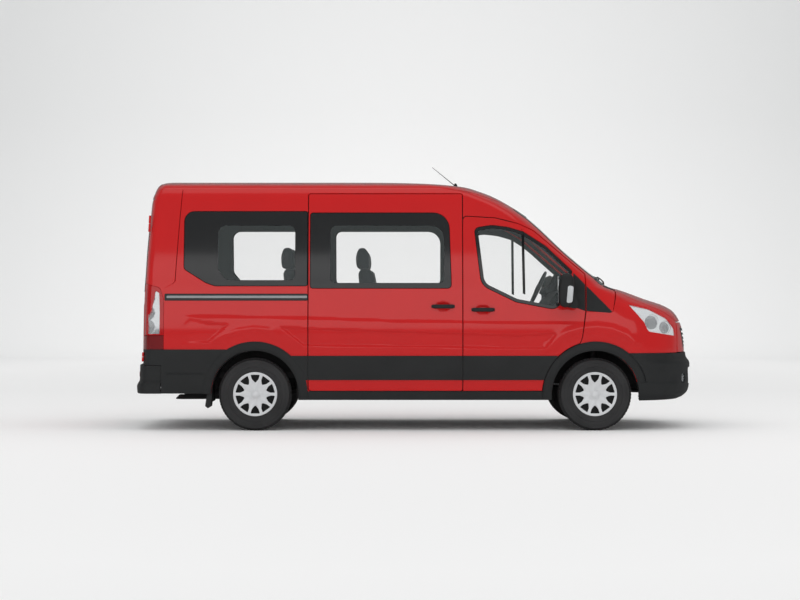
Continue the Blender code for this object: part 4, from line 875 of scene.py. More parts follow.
def window_pane(name, lines, place, outwards, body, node, flip=False):
    """A pane bonded flush: a black fired band round a clear opening."""
    pane, opening = lines
    spacing = 0.05
    part(f"{name}_band", [grown(pane, -0.006), opening], place, outwards, FRIT, body, "black_gloss", node,
         spacing=spacing, depth=0.005, edge=0.0012, flip=flip)
    part(f"{name}_sheet", [grown(opening, 0.004)], lifted(place, -0.0008, outwards), outwards, GLASS,
         body, "window_glass", spacing=spacing * 1.5, depth=0.004, edge=0.0, back=False, flip=flip)


def side_panels():
    """Painted panels, panes, inner trims and mouldings of both sides."""
    door, sliding, fixed, wing = front_door_line(), sliding_door_line(), body_side_line(), wing_line()
    quarter, mid, front_pane = quarter_window_line(), mid_window_line(), door_window_line()

    def painted(name, outlines, body, node, spacing, depth, handles=HANDLES[:1]):
        part(name, outlines, on_side(handles), LEFT, PAINT, body, "body_paint", node,
             spacing=spacing, depth=depth, edge=EDGE, flip=flip)

    def pane(name, lines, body, node):
        window_pane(name, lines, BODY.side, LEFT, body, node, flip)

    for side, flip in SIDES:
        holes = [grown(door, SHUT_GAP), ARCHES[1], tail_lamp_line(), quarter[0], PILLAR_SLOT]
        holes.append(grown(sliding, SHUT_GAP) if flip else mid[0])
        painted(f"body_shell_{side}", less(fixed, *holes), "body", f"body_side_{side}", 0.016, 0.030)
        pane(f"quarter_pane_{side}", quarter, "body", f"quarter_glass_{side}")

        body = f"front_door_{side}"
        painted(f"front_door_skin_{side}", less(door, front_pane[0]), body, body, 0.014, 0.045)
        pane(f"front_door_pane_{side}", front_pane, body, f"front_door_glass_{side}")
        outlines = less(wing, ARCHES[0], headlamp_line())
        painted(f"wing_{side}", outlines, "body", f"fender_{side}", 0.014, 0.022)

        if flip:
            outlines = less(sliding, mid[0])
            painted("sliding_door_skin", outlines, "body", "sliding_door", 0.014, 0.045, HANDLES)
            pane("sliding_door_pane", mid, "body", "sliding_door_glass")
        else:
            pane("mid_pane_left", mid, "body", "mid_glass_left")

        inner_trims(side, flip)

        # Mouldings, each on the panel that carries it
        moulding(f"door_moulding_{side}", door, body, flip)
        others = [grown(door, SHUT_GAP)]
        if flip:
            moulding("sliding_door_moulding", sliding, "body", flip)
            others.append(grown(sliding, SHUT_GAP))
        moulding(f"side_moulding_{side}", fixed, "body", flip, *others)
        moulding(f"wing_flare_{side}", wing, "body", flip)


def moulding(name, carrier, body, flip, *others):
    """A moulding with its share of the flares, cut out round the others."""
    strip = box(REAR_AXLE, MOULDING[0], FRONT_AXLE, MOULDING[1], 0)
    arches = [grown(line, 0.002) for line in ARCHES]
    outlines = [grown(carrier, -0.001), grown(strip, -0.004), *FLARES, *arches, *others]
    part(name, outlines, clad_place, LEFT, GRAINED, body, "black_plastic",
         keep=on_strip, spacing=0.018, depth=0.012, edge=0.004, flip=flip)


# Regions that the inner trims of the cabin and of the front doors stay in, and their depths
CABIN_END = [(-2.66, 0.62), (1.97, 0.62), (1.97, 1.16), (1.20, 2.22), (0.80, 2.35), (-2.50, 2.33)]
DOOR_END = [(-2.66, 0.62), (1.93, 0.62), (1.93, 1.15), (1.15, 2.20), (0.80, 2.33), (-2.50, 2.33)]
DOOR_TRIM_DEPTH, SIDE_TRIM_DEPTH = 0.048, 0.034


def inner_trims(side, flip):
    """Moulded trims that cover the panels' backs, cut out round the clear glass."""
    quarter, mid, front_pane = quarter_window_line()[1], mid_window_line()[1], door_window_line()[1]
    door, sliding = front_door_line(), sliding_door_line()

    def trim(name, outlines, body, depth):
        side_part(name, outlines, -depth, CABIN, "cabin_lining", body=body, keep=first_two,
                  spacing=0.05, depth=0.004, edge=0.0005, flip=flip)

    outlines = [grown(door, -0.010), DOOR_END, grown(front_pane, 0.004)]
    trim(f"front_door_trim_{side}", outlines, f"front_door_{side}", DOOR_TRIM_DEPTH)
    holes = [grown(door, 0.012), grown(quarter, 0.012), grown(ARCHES[1], 0.002)]
    holes.append(grown(tail_lamp_line(), 0.012))
    if flip:
        outlines = [grown(sliding, -0.012), CABIN_END, grown(mid, 0.012)]
        trim("sliding_door_trim", outlines, "body", DOOR_TRIM_DEPTH)
    holes.append(grown(sliding if flip else mid, 0.012))
    trim(f"side_trim_{side}", [grown(body_side_line(), -0.012), CABIN_END, *holes], "body", SIDE_TRIM_DEPTH)


# How far the mouldings stand proud, and how much further the flares do in their middle
PROUD, SWELL = 0.011, 0.009


def clad_place(points):
    """The side's mouldings, with the swelling of the flares."""
    spot = BODY.side(points)
    rise = np.full(len(points), PROUD)
    for x in (FRONT_AXLE, REAR_AXLE):
        radius = np.hypot(points[:, 0] - x, points[:, 1] - ARCH_Z)
        t = np.clip((radius - ARCH_RADIUS) / (FLARE_RADIUS - ARCH_RADIUS), 0, 1)
        rise = np.maximum(rise, PROUD + SWELL * np.sin(np.pi * t) ** 0.7 * (radius < FLARE_RADIUS))
    spot[:, 1] += rise
    return spot


def roof_line():
    """The roof from above: its seam, the windscreen's top and the line over the rear doors."""
    lengths = [*np.linspace(-2.497, -2.43, 12), *np.linspace(-2.40, 0.30, 16)]
    seam = rear_edge("side")[-1:] + [(float(x), ROOF_SEAM) for x in lengths] + list(reversed(SEAM))
    left = [(x, float(BODY.half_at(np.array([x]), np.array([z]))[0])) for x, z in seam]
    top = [p for p in screen_edge("top") if p[0] < 1.06 and p[1] > 0]
    corner = sorted(top, key=lambda p: -p[1])
    across = seen_from("top", BODY.front, [(y, 2.169) for y in np.linspace(0.58, 0.0, 8)])
    rear = seen_from("top", BODY.rear, [(y, ROOF_REAR) for y in np.linspace(0.0, 0.70, 12)])
    return mirrored(rear + left + corner[-3:] + across, 1)


def add_roof():
    """Roof skin, its lining, and the strip over the rear doors."""
    part("roof_skin", [roof_line()], BODY.top, UP, PAINT, "body", "body_paint", "roof",
         spacing=0.035, depth=0.020, edge=0.002)
    part("roof_lining", [grown(roof_line(), -0.05)], lifted(BODY.top, -0.026, UP), UP, CABIN,
         "body", "cabin_lining", spacing=0.06, depth=0.004, edge=0.001)
    left = [(0.0, 2.2625), (0.800, 2.2625), *rear_edge("front")[-2:], (0.70, ROOF_REAR)]
    part("roof_rear_strip", [both_ways(left)], BODY.rear, REAR, PAINT, "body", "body_paint",
         spacing=0.02, depth=0.020, edge=0.001)


def add_windscreen():
    """Windscreen, the cowl at its foot and two wipers."""
    opening = rounded([
        (0.735, 1.500, 0.05), (0.640, 2.095, 0.07), (-0.640, 2.095, 0.07), (-0.735, 1.500, 0.05),
    ])
    window_pane("windscreen", (screen_line(), opening), BODY.front, FRONT, "body", "windscreen")
    foot = seen_from("top", BODY.front, [(y, 1.409) for y in np.linspace(0.76, 0.0, 12)])
    outline = mirrored([(BONNET_REAR - SHUT_GAP, 0.783), (1.862, 0.783), *foot])
    slots = [box(1.905, y - 0.055, 1.925, y + 0.055, 0.006) for y in np.linspace(-0.6, 0.6, 9)]
    part("scuttle_cowl", less(outline, *slots), BODY.top, UP, GRAINED, "body", "black_plastic", "scuttle",
         spacing=0.03, depth=0.045, edge=0.003)
    wipers = (("left", (0.42, 1.425), (-0.16, 1.462)), ("right", (-0.22, 1.425), (-0.66, 1.478)))
    for name, (foot_y, foot_z), (tip_y, tip_z) in wipers:
        line = [
            (foot_y + (tip_y - foot_y) * t, foot_z + (tip_z - foot_z) * t) for t in np.linspace(0, 1, 9)
        ]
        spots = lifted(BODY.front, 0.018, FRONT)(np.array(line))
        spots[0, 2] -= 0.03
        arm = tube(f"wiper_arm_{name}", spots, np.linspace(0.009, 0.005, 9), GLOSS_BLACK)
        finished(arm, "body", "black_plastic")
        line = [(tip_y - 0.05 + 0.50 * t, tip_z + 0.004 - 0.012 * t) for t in np.linspace(0, 1, 13)]
        spots = lifted(BODY.front, 0.008, FRONT)(np.array(line))
        blade = tube(f"wiper_blade_{name}", spots, np.full(13, 0.005), RUBBER)
        finished(blade, "body", "black_plastic")


def add_bonnet_and_nose():
    part("bonnet_skin", less(bonnet_line()), bonnet_place, UP, PAINT, "bonnet", "body_paint", "bonnet",
         spacing=0.028, depth=0.018, edge=EDGE)
    heights = np.linspace(BUMPER_TOP + 0.003, NOSE_TOP, 9)
    edge = [(float(BODY.half_at(np.array([NOSE_REAR + 0.004]), np.array([z]))[0]), float(z)) for z in heights]
    outline = both_ways([(0.0, float(heights[0])), *edge, (0.0, NOSE_TOP)])
    hole = grille_line(GRILLE)
    part("nose_skin", less(outline, hole), BODY.front, FRONT, PAINT, "body", "body_paint", "front_panel",
         spacing=0.025, depth=0.022, edge=EDGE)
    halves = [0.50 - 0.03 * row for row in range(4)]
    lows = (0.940, 0.900, 0.860, 0.825)
    slots = [box(-half, low, half, low + 0.022, 0.008) for half, low in zip(halves, lows)]
    part("grille_face", less(grown(hole, -0.002), *slots), BODY.front, FRONT, GRAINED,
         "body", "black_plastic", "grille", spacing=0.03, depth=0.035, edge=0.003)
    for row, (half, middle) in enumerate(zip(halves, (0.962, 0.922, 0.882, 0.845))):
        bar = box(-half, middle - 0.003, half, middle + 0.003, 0.002, 3)
        part(f"grille_bar_{row + 1}", [bar], lifted(BODY.front, 0.003, FRONT), FRONT, SILVER,
             "body", "bright_metal", spacing=0.03, depth=0.010, edge=0.001)


def grille_line(sizes):
    top_half, bottom_half, top, bottom, top_radius, bottom_radius = sizes
    return rounded([
        (-top_half, top, top_radius), (top_half, top, top_radius),
        (bottom_half, bottom, bottom_radius), (-bottom_half, bottom, bottom_radius),
    ])


def bonnet_place(points):
    """The bonnet's skin, with two soft ridges that run from the screen to the nose."""
    spots = BODY.top(points)
    x, y = points.T
    line = 0.56 - 0.28 * np.clip((x - BONNET_REAR) / 0.72, 0, 1) ** 1.3
    fade = step_up(x - BONNET_REAR - 0.02, 0.10) * step_up(2.62 - x, 0.15)
    spots[:, 2] += 0.006 * fade * np.exp(-((np.abs(y) - line) / 0.030) ** 2)
    return spots


# Width and height of a fog lamp's middle
FOG_LAMP = (0.68, 0.50)


def add_bumpers():
    """Both bumpers, the lower grille, fog lamps, plate field and rear reflectors."""
    front, rear = Wrap(BUMPER, 1), Wrap(BUMPER, -1)

    def ahead(name, outlines, lift, finish, slot, **form):
        part(name, outlines, lifted(front.place, lift, front.outwards), front.outwards, finish,
             "body", slot, **form)

    foot, split, top = 0.285, FRONT_AXLE + 0.104, BUMPER_TOP - 0.003
    side_line = [
        (split, foot), (split, BUMPER_SIDE - 0.004),
        *arc(FRONT_AXLE, ARCH_Z, FLARE_RADIUS + 0.003, 13.4, 51.0, 14),
        (FRONT_TIP - 0.20, top), (FRONT_TIP - 0.06, top),
    ]
    below = [(s, foot) for s in np.linspace(0.2, 1.1, 8)]
    left = [(0.0, foot), *below, *front.from_side(side_line), (0.0, top)]
    arch = front.from_side(circle(FRONT_AXLE, ARCH_Z, ARCH_RADIUS + 0.001))
    lower = front.from_end(grille_line(LOWER_GRILLE))
    fogs = [circle(y, FOG_LAMP[1], 0.050, 40) for y in (FOG_LAMP[0], -FOG_LAMP[0])]
    field = front.from_end(box(-0.262, 0.625, 0.262, 0.738, 0.01))
    outlines = less(both_ways(left), arch, [(-a, b) for a, b in arch], lower, *fogs, field)
    part("front_bumper_skin", outlines, bumper_place(front), front.outwards, GRAINED,
         "body", "black_plastic", "front_bumper", spacing=0.022, depth=0.030, edge=0.005)
    ahead("front_plate_recess", [grown(field, 0.004)], -0.008, GRAINED, "black_plastic",
          spacing=0.04, depth=0.006, edge=0.001)
    ahead("front_plate", [grown(field, -0.008)], -0.003, SILVER, "bright_metal",
          spacing=0.05, depth=0.004, edge=0.001)
    slats = []
    for low in (0.455, 0.492, 0.529, 0.566):
        half = 0.462 + 0.3 * (low - 0.43)
        slats.append(front.from_end(box(-half, low, half, low + 0.020, 0.006)))
    ahead("lower_grille_slats", [grown(lower, 0.004), *slats], -0.016, GRAINED, "black_plastic",
          spacing=0.03, depth=0.020, edge=0.001)
    for side, flip in SIDES:
        for label, radius, lift, finish, slot in (
            ("lens", 0.042, -0.010, LENS, "lamp_lens"), ("bowl", 0.051, -0.022, REFLECTOR, "reflector"),
        ):
            ahead(f"fog_lamp_{label}_{side}", [circle(*FOG_LAMP, radius, 40)], lift, finish, slot,
                  spacing=0.02, depth=0.004, edge=0.001, flip=flip)

    low, high = 0.358, 0.630
    ends = rear.from_side([(BUMPER_SPLIT - 0.004, low), (BUMPER_SPLIT - 0.004, high)])
    left = [(0.0, low), *[(s, low) for s in np.linspace(0.2, 1.0, 6)], *ends, (0.0, high)]
    part("rear_bumper_skin", less(both_ways(left)), bumper_place(rear), rear.outwards, GRAINED,
         "body", "black_plastic", "rear_bumper", spacing=0.025, depth=0.062, edge=0.006)
    for side, flip in SIDES:
        part(f"rear_reflex_{side}", [box(0.62, 0.520, 0.76, 0.560, 0.012)],
             lifted(rear.place, 0.004, rear.outwards), rear.outwards, RED_LENS, "body", "red_lens",
             spacing=0.03, depth=0.008, edge=0.002, flip=flip)


def bumper_place(wrap):
    """A bumper's skin with a groove along it below its upper edge."""
    def place(points):
        spots = wrap.place(points)
        s, z = np.abs(points[:, 0]), points[:, 1]
        depth = 0.004 * np.exp(-((z - 0.700) / 0.012) ** 2)
        depth += 0.006 * np.exp(-((z - 0.470) / 0.006) ** 2) * step_up(s - 0.80, 0.05)
        if wrap.end > 0:
            middle = step_up(0.095 - np.abs(s - 1.10), 0.03)
            depth += 0.010 * middle * step_up(0.022 - np.abs(z - 0.585), 0.012)
        way = wrap.outwards(spots)
        way /= np.linalg.norm(way, axis=1)[:, None]
        return spots - way * depth[:, None]
    return place


# Length, height and radius of the headlamp's openings, and the clear part of a tail lamp
LAMP_BOWLS = (("outer", 2.300, 1.052, 0.072), ("inner", 2.440, 0.998, 0.060))
CLEAR_PART = rounded([
    (-2.600, 0.935, 0.01), (-2.478, 0.935, 0.01), (-2.476, 1.150, 0.3), (-2.482, 1.335, 0.01),
    (-2.520, 1.358, 0.01), (-2.560, 1.150, 0.05), (-2.600, 1.120, 0.01),
])


def add_lamps():
    """Head and tail lamps: clear lenses over their bowls, pale hoods and red parts."""
    outline = headlamp_line()
    lower, upper = tail_lamp_line(high=0.918), tail_lamp_line(low=0.922)
    openings = [circle(x, z, radius, 40) for _, x, z, radius in LAMP_BOWLS]
    for side, flip in SIDES:
        side_part(f"headlamp_lens_{side}", [grown(outline, -0.002)], -0.0008, LENS, "lamp_lens",
                  f"headlamp_{side}", spacing=0.020, depth=0.006, edge=0.002, flip=flip)
        side_part(f"headlamp_hood_{side}", [grown(outline, 0.0), *openings], -0.012, HOOD, "reflector",
                  spacing=0.022, depth=0.012, edge=0.003, flip=flip)
        for label, x, z, opening in LAMP_BOWLS:
            radius = opening + 0.002
            part(f"headlamp_bowl_{label}_{side}", [circle(x, z, radius, 40)], bowl_place(x, z, radius), LEFT,
                 REFLECTOR, "body", "reflector", spacing=0.010, depth=0.004, edge=0.001, flip=flip)
        side_part(f"tail_lamp_lower_{side}", [grown(lower, -0.003)], 0.001, RED_LENS, "red_lens",
                  f"tail_lamp_{side}", spacing=0.02, depth=0.02, edge=0.003, flip=flip)
        side_part(f"tail_lamp_frame_{side}", [grown(upper, -0.003), CLEAR_PART], -0.003, LAMP_RED,
                  "red_lens", spacing=0.02, depth=0.016, edge=0.002, flip=flip)
        side_part(f"tail_lamp_upper_{side}", [grown(CLEAR_PART, -0.002)], -0.0035, LENS, "lamp_lens",
                  spacing=0.02, depth=0.004, edge=0.001, flip=flip)
        part(f"tail_lamp_bowls_{side}", [grown(CLEAR_PART, 0.003)], tail_back, LEFT, REFLECTOR,
             "body", "reflector", spacing=0.010, depth=0.006, edge=0.002, flip=flip)


def bowl_place(x, z, radius):
    """A round bowl sunk into the side about one spot."""
    def place(points):
        spots = BODY.side(points)
        away = np.hypot(points[:, 0] - x, points[:, 1] - z) / radius
        spots[:, 1] -= 0.016 + 0.034 * (1 - np.clip(away, 0, 1) ** 2)
        return spots
    return place


def tail_back(points):
    """The tail lamp's back, with three shallow bowls over each other."""
    spots = BODY.side(points)
    depth = np.full(len(points), 0.014)
    for height in (1.00, 1.14, 1.28):
        away = np.hypot((points[:, 0] - REAR_TIP - 0.18) * 1.1, points[:, 1] - height) / 0.065
        depth += 0.014 * (1 - np.clip(away, 0, 1) ** 2)
    spots[:, 1] -= depth
    return spots


def add_claddings():
    """Rear quarters, sills and mudflaps."""
    split, rear, top = BUMPER_SPLIT + 0.003, REAR_TIP + 0.080, LAMP_FOOT - 0.003
    quarter = [
        (split, 0.362), (REAR_AXLE - 0.20, 0.362), (REAR_AXLE - 0.20, top), (rear, top), (rear, 0.638),
        (split, 0.638),
    ]
    sill = box(REAR_AXLE + 0.40, SILL_BOTTOM, FRONT_AXLE - 0.40, 0.378, 0)
    arches = [grown(line, 0.002) for line in ARCHES]
    flap = rounded([
        (-2.016, 0.400, 0), (-1.972, 0.400, 0), (-1.982, 0.300, 0.05), (-1.988, 0.232, 0.01),
        (-2.016, 0.214, 0.008), (-2.044, 0.236, 0.01), (-2.034, 0.300, 0.05),
    ])
    for side, flip in SIDES:
        part(f"rear_quarter_cladding_{side}", [quarter, grown(FLARES[1], 0.001), arches[1]], quarter_place,
             LEFT, GRAINED, "body", "black_plastic", spacing=0.018, depth=0.011, edge=0.004, flip=flip)
        side_part(f"sill_{side}", [sill, *arches], 0.004, GRAINED, "black_plastic",
                  spacing=0.03, depth=0.02, edge=0.004, flip=flip)
        piece = plate(f"mudflap_{side}", flap, 1, 0.800, 0.965, 0.003, GRAINED, flip)
        finished(piece, "body", "black_plastic")


def add_closings():
    """Dark closing plates at the arches' feet, and the cradle below the spare wheel."""
    cradle = rounded([
        (-2.375, 0.288, 0.008), (-2.330, 0.334, 0.02), (-1.880, 0.334, 0.01), (-1.880, 0.288, 0.01),
        (-2.300, 0.286, 0.02),
    ])
    for side, flip in SIDES:
        for name, rear, front in (("front", 1.185, 1.262), ("rear", -1.155, -1.045)):
            foot = box(rear, 0.306, front, 0.620, 0.01)
            closing = plate(f"arch_closing_{name}_{side}", foot, 1, 0.930, 0.948, 0.002, CHASSIS, flip)
            finished(closing, "body", "dark_steel")
        bar = plate(f"spare_cradle_{side}", cradle, 1, 0.560, 0.600, 0.004, CHASSIS, flip)
        finished(bar, "body", "dark_steel")


# Depth of the seals behind the side, and the wheelhouses' inner and outer ends across it
SEAL_DEPTH, SEAM_SEAL_DEPTH = 0.0325, 0.0225
FRONT_HOUSE, REAR_HOUSE, HOUSE_END = 0.902, 0.640, 0.968


def add_seals():
    """Rubber seals behind the shut lines and the roof's seam, and the wheelhouses."""
    lengths = np.linspace(-2.38, 0.30, 12)
    seam = [(float(x), ROOF_SEAM) for x in lengths] + list(reversed(SEAM))
    band = [(x, z - 0.020) for x, z in seam] + [(x, z + 0.016) for x, z in reversed(seam)]
    outer, inner = ARCH_RADIUS - 0.001, ARCH_RADIUS - 0.006
    wall = arc(REAR_AXLE, ARCH_Z, outer, 20, 160, 36)
    form = {"spacing": 0.03, "depth": 0.003, "edge": 0.0008}
    for side, flip in SIDES:
        lines = [("front_door", front_door_line())]
        if flip:
            lines.append(("sliding_door", sliding_door_line()))
        for name, line in lines:
            ring = [grown(grown(line, 0.024), 0.0), grown(line, 0.0015)]
            side_part(f"{name}_seal_{side}", ring, -SEAL_DEPTH, RUBBER, "black_plastic", **form, flip=flip)
        side_part(f"roof_seam_seal_{side}", [band], -SEAM_SEAL_DEPTH, RUBBER, "black_plastic",
                  **form, flip=flip)
        for name, x, start, end, low in (
            ("front", FRONT_AXLE, 6, 184, FRONT_HOUSE), ("rear", REAR_AXLE, -6, 190, REAR_HOUSE),
        ):
            shell = arc(x, ARCH_Z, outer, start, end, 48) + arc(x, ARCH_Z, inner, start, end, 48)[::-1]
            liner = plate(f"wheelhouse_{name}_{side}", shell, 1, low, HOUSE_END, 0.001, GRAINED, flip, 1)
            finished(liner, "body", "black_plastic")
        inside_wall = plate(f"wheelhouse_wall_{side}", wall, 1, 0.636, 0.641, 0.001, GRAINED, flip, 1)
        finished(inside_wall, "body", "black_plastic")


def quarter_place(points):
    """The quarter's cladding, with a groove where the jacking cover ends."""
    spots = BODY.side(points)
    x, z = points.T
    groove = np.exp(-((z - 0.548) / 0.004) ** 2) * step_up(x + 2.42, 0.02) * step_up(-2.05 - x, 0.02)
    spots[:, 1] += 0.0115 - 0.004 * groove
    return spots


def add_rear_doors():
    """Two hinged doors with glass and trims. The left one carries plate and handle."""
    line, panes = rear_door_line(), rear_window_line()

    def behind(name, outlines, lift, finish, slot, spacing, depth, edge):
        part(name, outlines, lifted(BODY.rear, lift, REAR), REAR, finish, body, slot,
             spacing=spacing, depth=depth, edge=edge, flip=flip)

    for side, flip in SIDES:
        body = f"rear_door_{side}"
        part(f"rear_door_skin_{side}", less(line, panes[0]), rear_door_place, REAR, PAINT, body, "body_paint",
             body, spacing=0.018, depth=0.045, edge=EDGE, flip=flip)
        window_pane(f"rear_pane_{side}", panes, BODY.rear, REAR, body, f"rear_door_glass_{side}", flip)
        outlines = [grown(line, -0.02), grown(panes[1], 0.008)]
        behind(f"rear_door_trim_{side}", outlines, -0.058, CABIN, "cabin_lining", 0.05, 0.004, 0.001)
        if not flip:
            blank = grown(box(0.04, 0.86, 0.60, 1.02, 0.02), -0.02)
            behind("rear_plate", [blank], -0.001, SILVER, "bright_metal", 0.05, 0.004, 0.001)
            grip = box(0.05, 1.11, 0.20, 1.17, 0.02)
            behind("rear_door_handle", [grip], 0.012, GRAINED, "black_plastic", 0.02, 0.02, 0.006)


def rear_door_place(points):
    """The rear doors' skin, with a sunk plate field and a crease at the shoulder."""
    spots = BODY.rear(points)
    field = box(0.03, 0.82, 0.66, 1.06, 0.03)
    away = to_line(field + [field[0]], points) * np.where(inside(field, points), 1, -1)
    spots[:, 0] += 0.008 * step_up(away - 0.010, 0.020)
    crease = step_up(points[:, 1] - 1.225, 0.030) * step_up(0.86 - points[:, 0], 0.08)
    spots[:, 0] += 0.004 * crease
    return spots


# Turned, swept and moulded solids
def flipped(mesh):
    """Turns a mesh over to the right-hand side."""
    mesh.transform(Matrix.Scale(-1, 4, (0, 1, 0)))
    mesh.flip_normals()


def evaluated(thing):
    """The mesh of a thing as its modifiers leave it."""
    ready = thing.evaluated_get(bpy.context.evaluated_depsgraph_get())
    return bpy.data.meshes.new_from_object(ready)


def solid(name, mesh, finish, sharp=35):
    mesh.name = name
    mesh.shade_smooth()
    mesh.set_sharp_from_angle(angle=math.radians(sharp))
    mesh.materials.clear()
    mesh.materials.append(finish)
    return linked(name, mesh)


def mesh_of(vertices, faces):
    mesh = bpy.data.meshes.new("form")
    mesh.from_pydata([tuple(map(float, v)) for v in vertices], [], [tuple(map(int, f)) for f in faces])
    shape = bmesh.new()
    shape.from_mesh(mesh)
    bmesh.ops.remove_doubles(shape, verts=shape.verts, dist=1e-6)
    bmesh.ops.recalc_face_normals(shape, faces=shape.faces)
    shape.to_mesh(mesh)
    shape.free()
    return mesh


def skinned(vertices, sides):
    """A mesh over rings of points that follow each other, closed at both ends."""
    faces = []
    for start in range(0, len(vertices) - sides, sides):
        for turn in range(sides):
            a, b = start + turn, start + (turn + 1) % sides
            faces.append((a, b, b + sides, a + sides))
    faces += [tuple(range(sides)), tuple(range(len(vertices) - sides, len(vertices)))]
    return mesh_of(vertices, faces)


def tube(name, spots, radii, finish, sides=12):
    """A round bar along the spots, its radius changing from one to the next."""
    spots = [Vector(p) for p in spots]
    vertices = []
    for index, spot in enumerate(spots):
        run = (spots[min(index + 1, len(spots) - 1)] - spots[max(index - 1, 0)]).normalized()
        first = run.cross(Vector((0.123, 0.97, 0.21))).normalized()
        second = run.cross(first)
        for turn in range(sides):
            angle = math.tau * turn / sides
            vertices.append(spot + float(radii[index]) * (first * math.cos(angle) + second * math.sin(angle)))
    return solid(name, skinned(vertices, sides), finish, 50)


def revolved(profile, segments=96):
    """A closed profile of radius and width turned about the Y axis."""
    count = len(profile)
    vertices, faces = [], []
    for step in range(segments):
        turn = math.tau * step / segments
        vertices += [(radius * math.cos(turn), across, radius * math.sin(turn)) for radius, across in profile]
    for step in range(segments):
        here, after = step * count, (step + 1) % segments * count
        for i in range(count):
            j = (i + 1) % count
            faces.append((here + i, here + j, after + j, after + i))
    return mesh_of(vertices, faces)


def plate(name, outline, axis, low, high, bevel, finish, flip=False, segments=2):
    """A flat outline given thickness along an axis, with bevelled edges."""
    shape = bmesh.new()
    rows = []
    for level in (low, high):
        row = []
        for a, b in cleaned(outline):
            spot = [a, b]
            spot.insert(axis, level)
            row.append(shape.verts.new(spot))
        rows.append(row)
    shape.faces.new(rows[0])
    shape.faces.new(list(reversed(rows[1])))
    count = len(rows[0])
    for i in range(count):
        j = (i + 1) % count
        shape.faces.new((rows[0][j], rows[0][i], rows[1][i], rows[1][j]))
    if bevel:
        rims = [edge for edge in shape.edges if edge.calc_face_angle(0) > 0.6]
        bmesh.ops.bevel(shape, geom=rims, offset=bevel, segments=segments, affect="EDGES", profile=0.5)
    if flip:
        bmesh.ops.scale(shape, vec=(1, -1, 1), verts=shape.verts)
    bmesh.ops.recalc_face_normals(shape, faces=shape.faces)
    mesh = bpy.data.meshes.new(name)
    shape.to_mesh(mesh)
    shape.free()
    return solid(name, mesh, finish, 40)


# Wheels and what hangs on the outside
def around(piece, count):
    """Copies of a piece turned about the Y axis by Geometry Nodes, as one real mesh."""
    group = bpy.data.node_groups.new("copies_round_an_axle", "GeometryNodeTree")
    sockets = group.interface
    sockets.new_socket("Block", in_out="INPUT", socket_type="NodeSocketGeometry")
    number = sockets.new_socket("Count", in_out="INPUT", socket_type="NodeSocketInt")
    finish = sockets.new_socket("Finish", in_out="INPUT", socket_type="NodeSocketMaterial")
    sockets.new_socket("Ring", in_out="OUTPUT", socket_type="NodeSocketGeometry")
    entry = add(group, "NodeGroupInput")
    points = add(group, "GeometryNodeMeshLine", [("Count", entry, "Count")], in_Offset=(0, 0, 0))
    index = add(group, "GeometryNodeInputIndex")
    share = add(group, "ShaderNodeMath", [(0, index, 0), (1, entry, "Count")], operation="DIVIDE")
    turn = add(group, "ShaderNodeMath", [(0, share, 0)], operation="MULTIPLY", in_1=math.tau)
    spin = add(group, "ShaderNodeCombineXYZ", [("Y", turn, 0)])
    copies = add(group, "GeometryNodeInstanceOnPoints", [
        ("Points", points, "Mesh"), ("Instance", entry, "Block"), ("Rotation", spin, 0),
    ])
    real = add(group, "GeometryNodeRealizeInstances", [(0, copies, 0)])
    paint = add(group, "GeometryNodeSetMaterial", [("Geometry", real, 0), ("Material", entry, "Finish")])
    add(group, "NodeGroupOutput", [(0, paint, 0)])
    modifier = piece.modifiers.new("ring", "NODES")
    modifier.node_group = group
    modifier[number.identifier] = count
    modifier[finish.identifier] = piece.data.materials[0]
    bpy.context.view_layer.update()
    ready, name = evaluated(piece), piece.name
    bpy.data.objects.remove(piece)
    ready.name = name
    return linked(name, ready)


def placed_copy(source, name, spot, flip=False):
    """A finished piece's mesh moved to a spot, and turned over for the right-hand side."""
    mesh = source.data.copy()
    mesh.name = name
    mesh.transform(Matrix.Translation(spot))
    if flip:
        flipped(mesh)
    return linked(name, mesh)


TYRE_HALF, GROOVES, GROOVE_DEPTH = 0.1175, (-0.058, -0.020, 0.020, 0.058), 0.007


def tyre_form():
    """Tread with four grooves, shoulders, and sidewalls with raised rings."""
    half, top = TYRE_HALF - 0.0005, TYRE_RADIUS - 0.0005
    outer = [(top - 0.012, half - 0.010), (top - 0.004, half - 0.022), (top - 0.001, half - 0.034)]
    tread = []
    for middle in reversed(GROOVES):
        tread += [
            (top, middle + 0.0055), (top - GROOVE_DEPTH, middle + 0.0040),
            (top - GROOVE_DEPTH, middle - 0.0040), (top, middle - 0.0055),
        ]
    wall = [
        (0.330, half - 0.004), (0.316, half), (0.308, half), (0.3065, half - 0.0015), (0.300, half - 0.0015),
        (0.2985, half), (0.268, half - 0.003), (0.2665, half - 0.001), (0.2625, half - 0.001),
        (0.261, half - 0.005), (0.240, half - 0.014), (0.228, half - 0.021), (0.2185, 0.089),
    ]
    profile = wall[::-1] + outer[::-1] + tread
    return profile + [(radius, -across) for radius, across in outer[::-1] + wall]


# Face of the wheel cover: radius from the axle, and distance from the wheel's middle plane
COVER_RADII = (0.0, 0.030, 0.042, 0.060, 0.105, 0.135, 0.172, 0.186, 0.196, 0.208, 0.2155)
COVER_FACE = (0.0775, 0.0775, 0.0690, 0.0655, 0.0690, 0.0720, 0.0765, 0.0800, 0.0860, 0.0880, 0.0860)


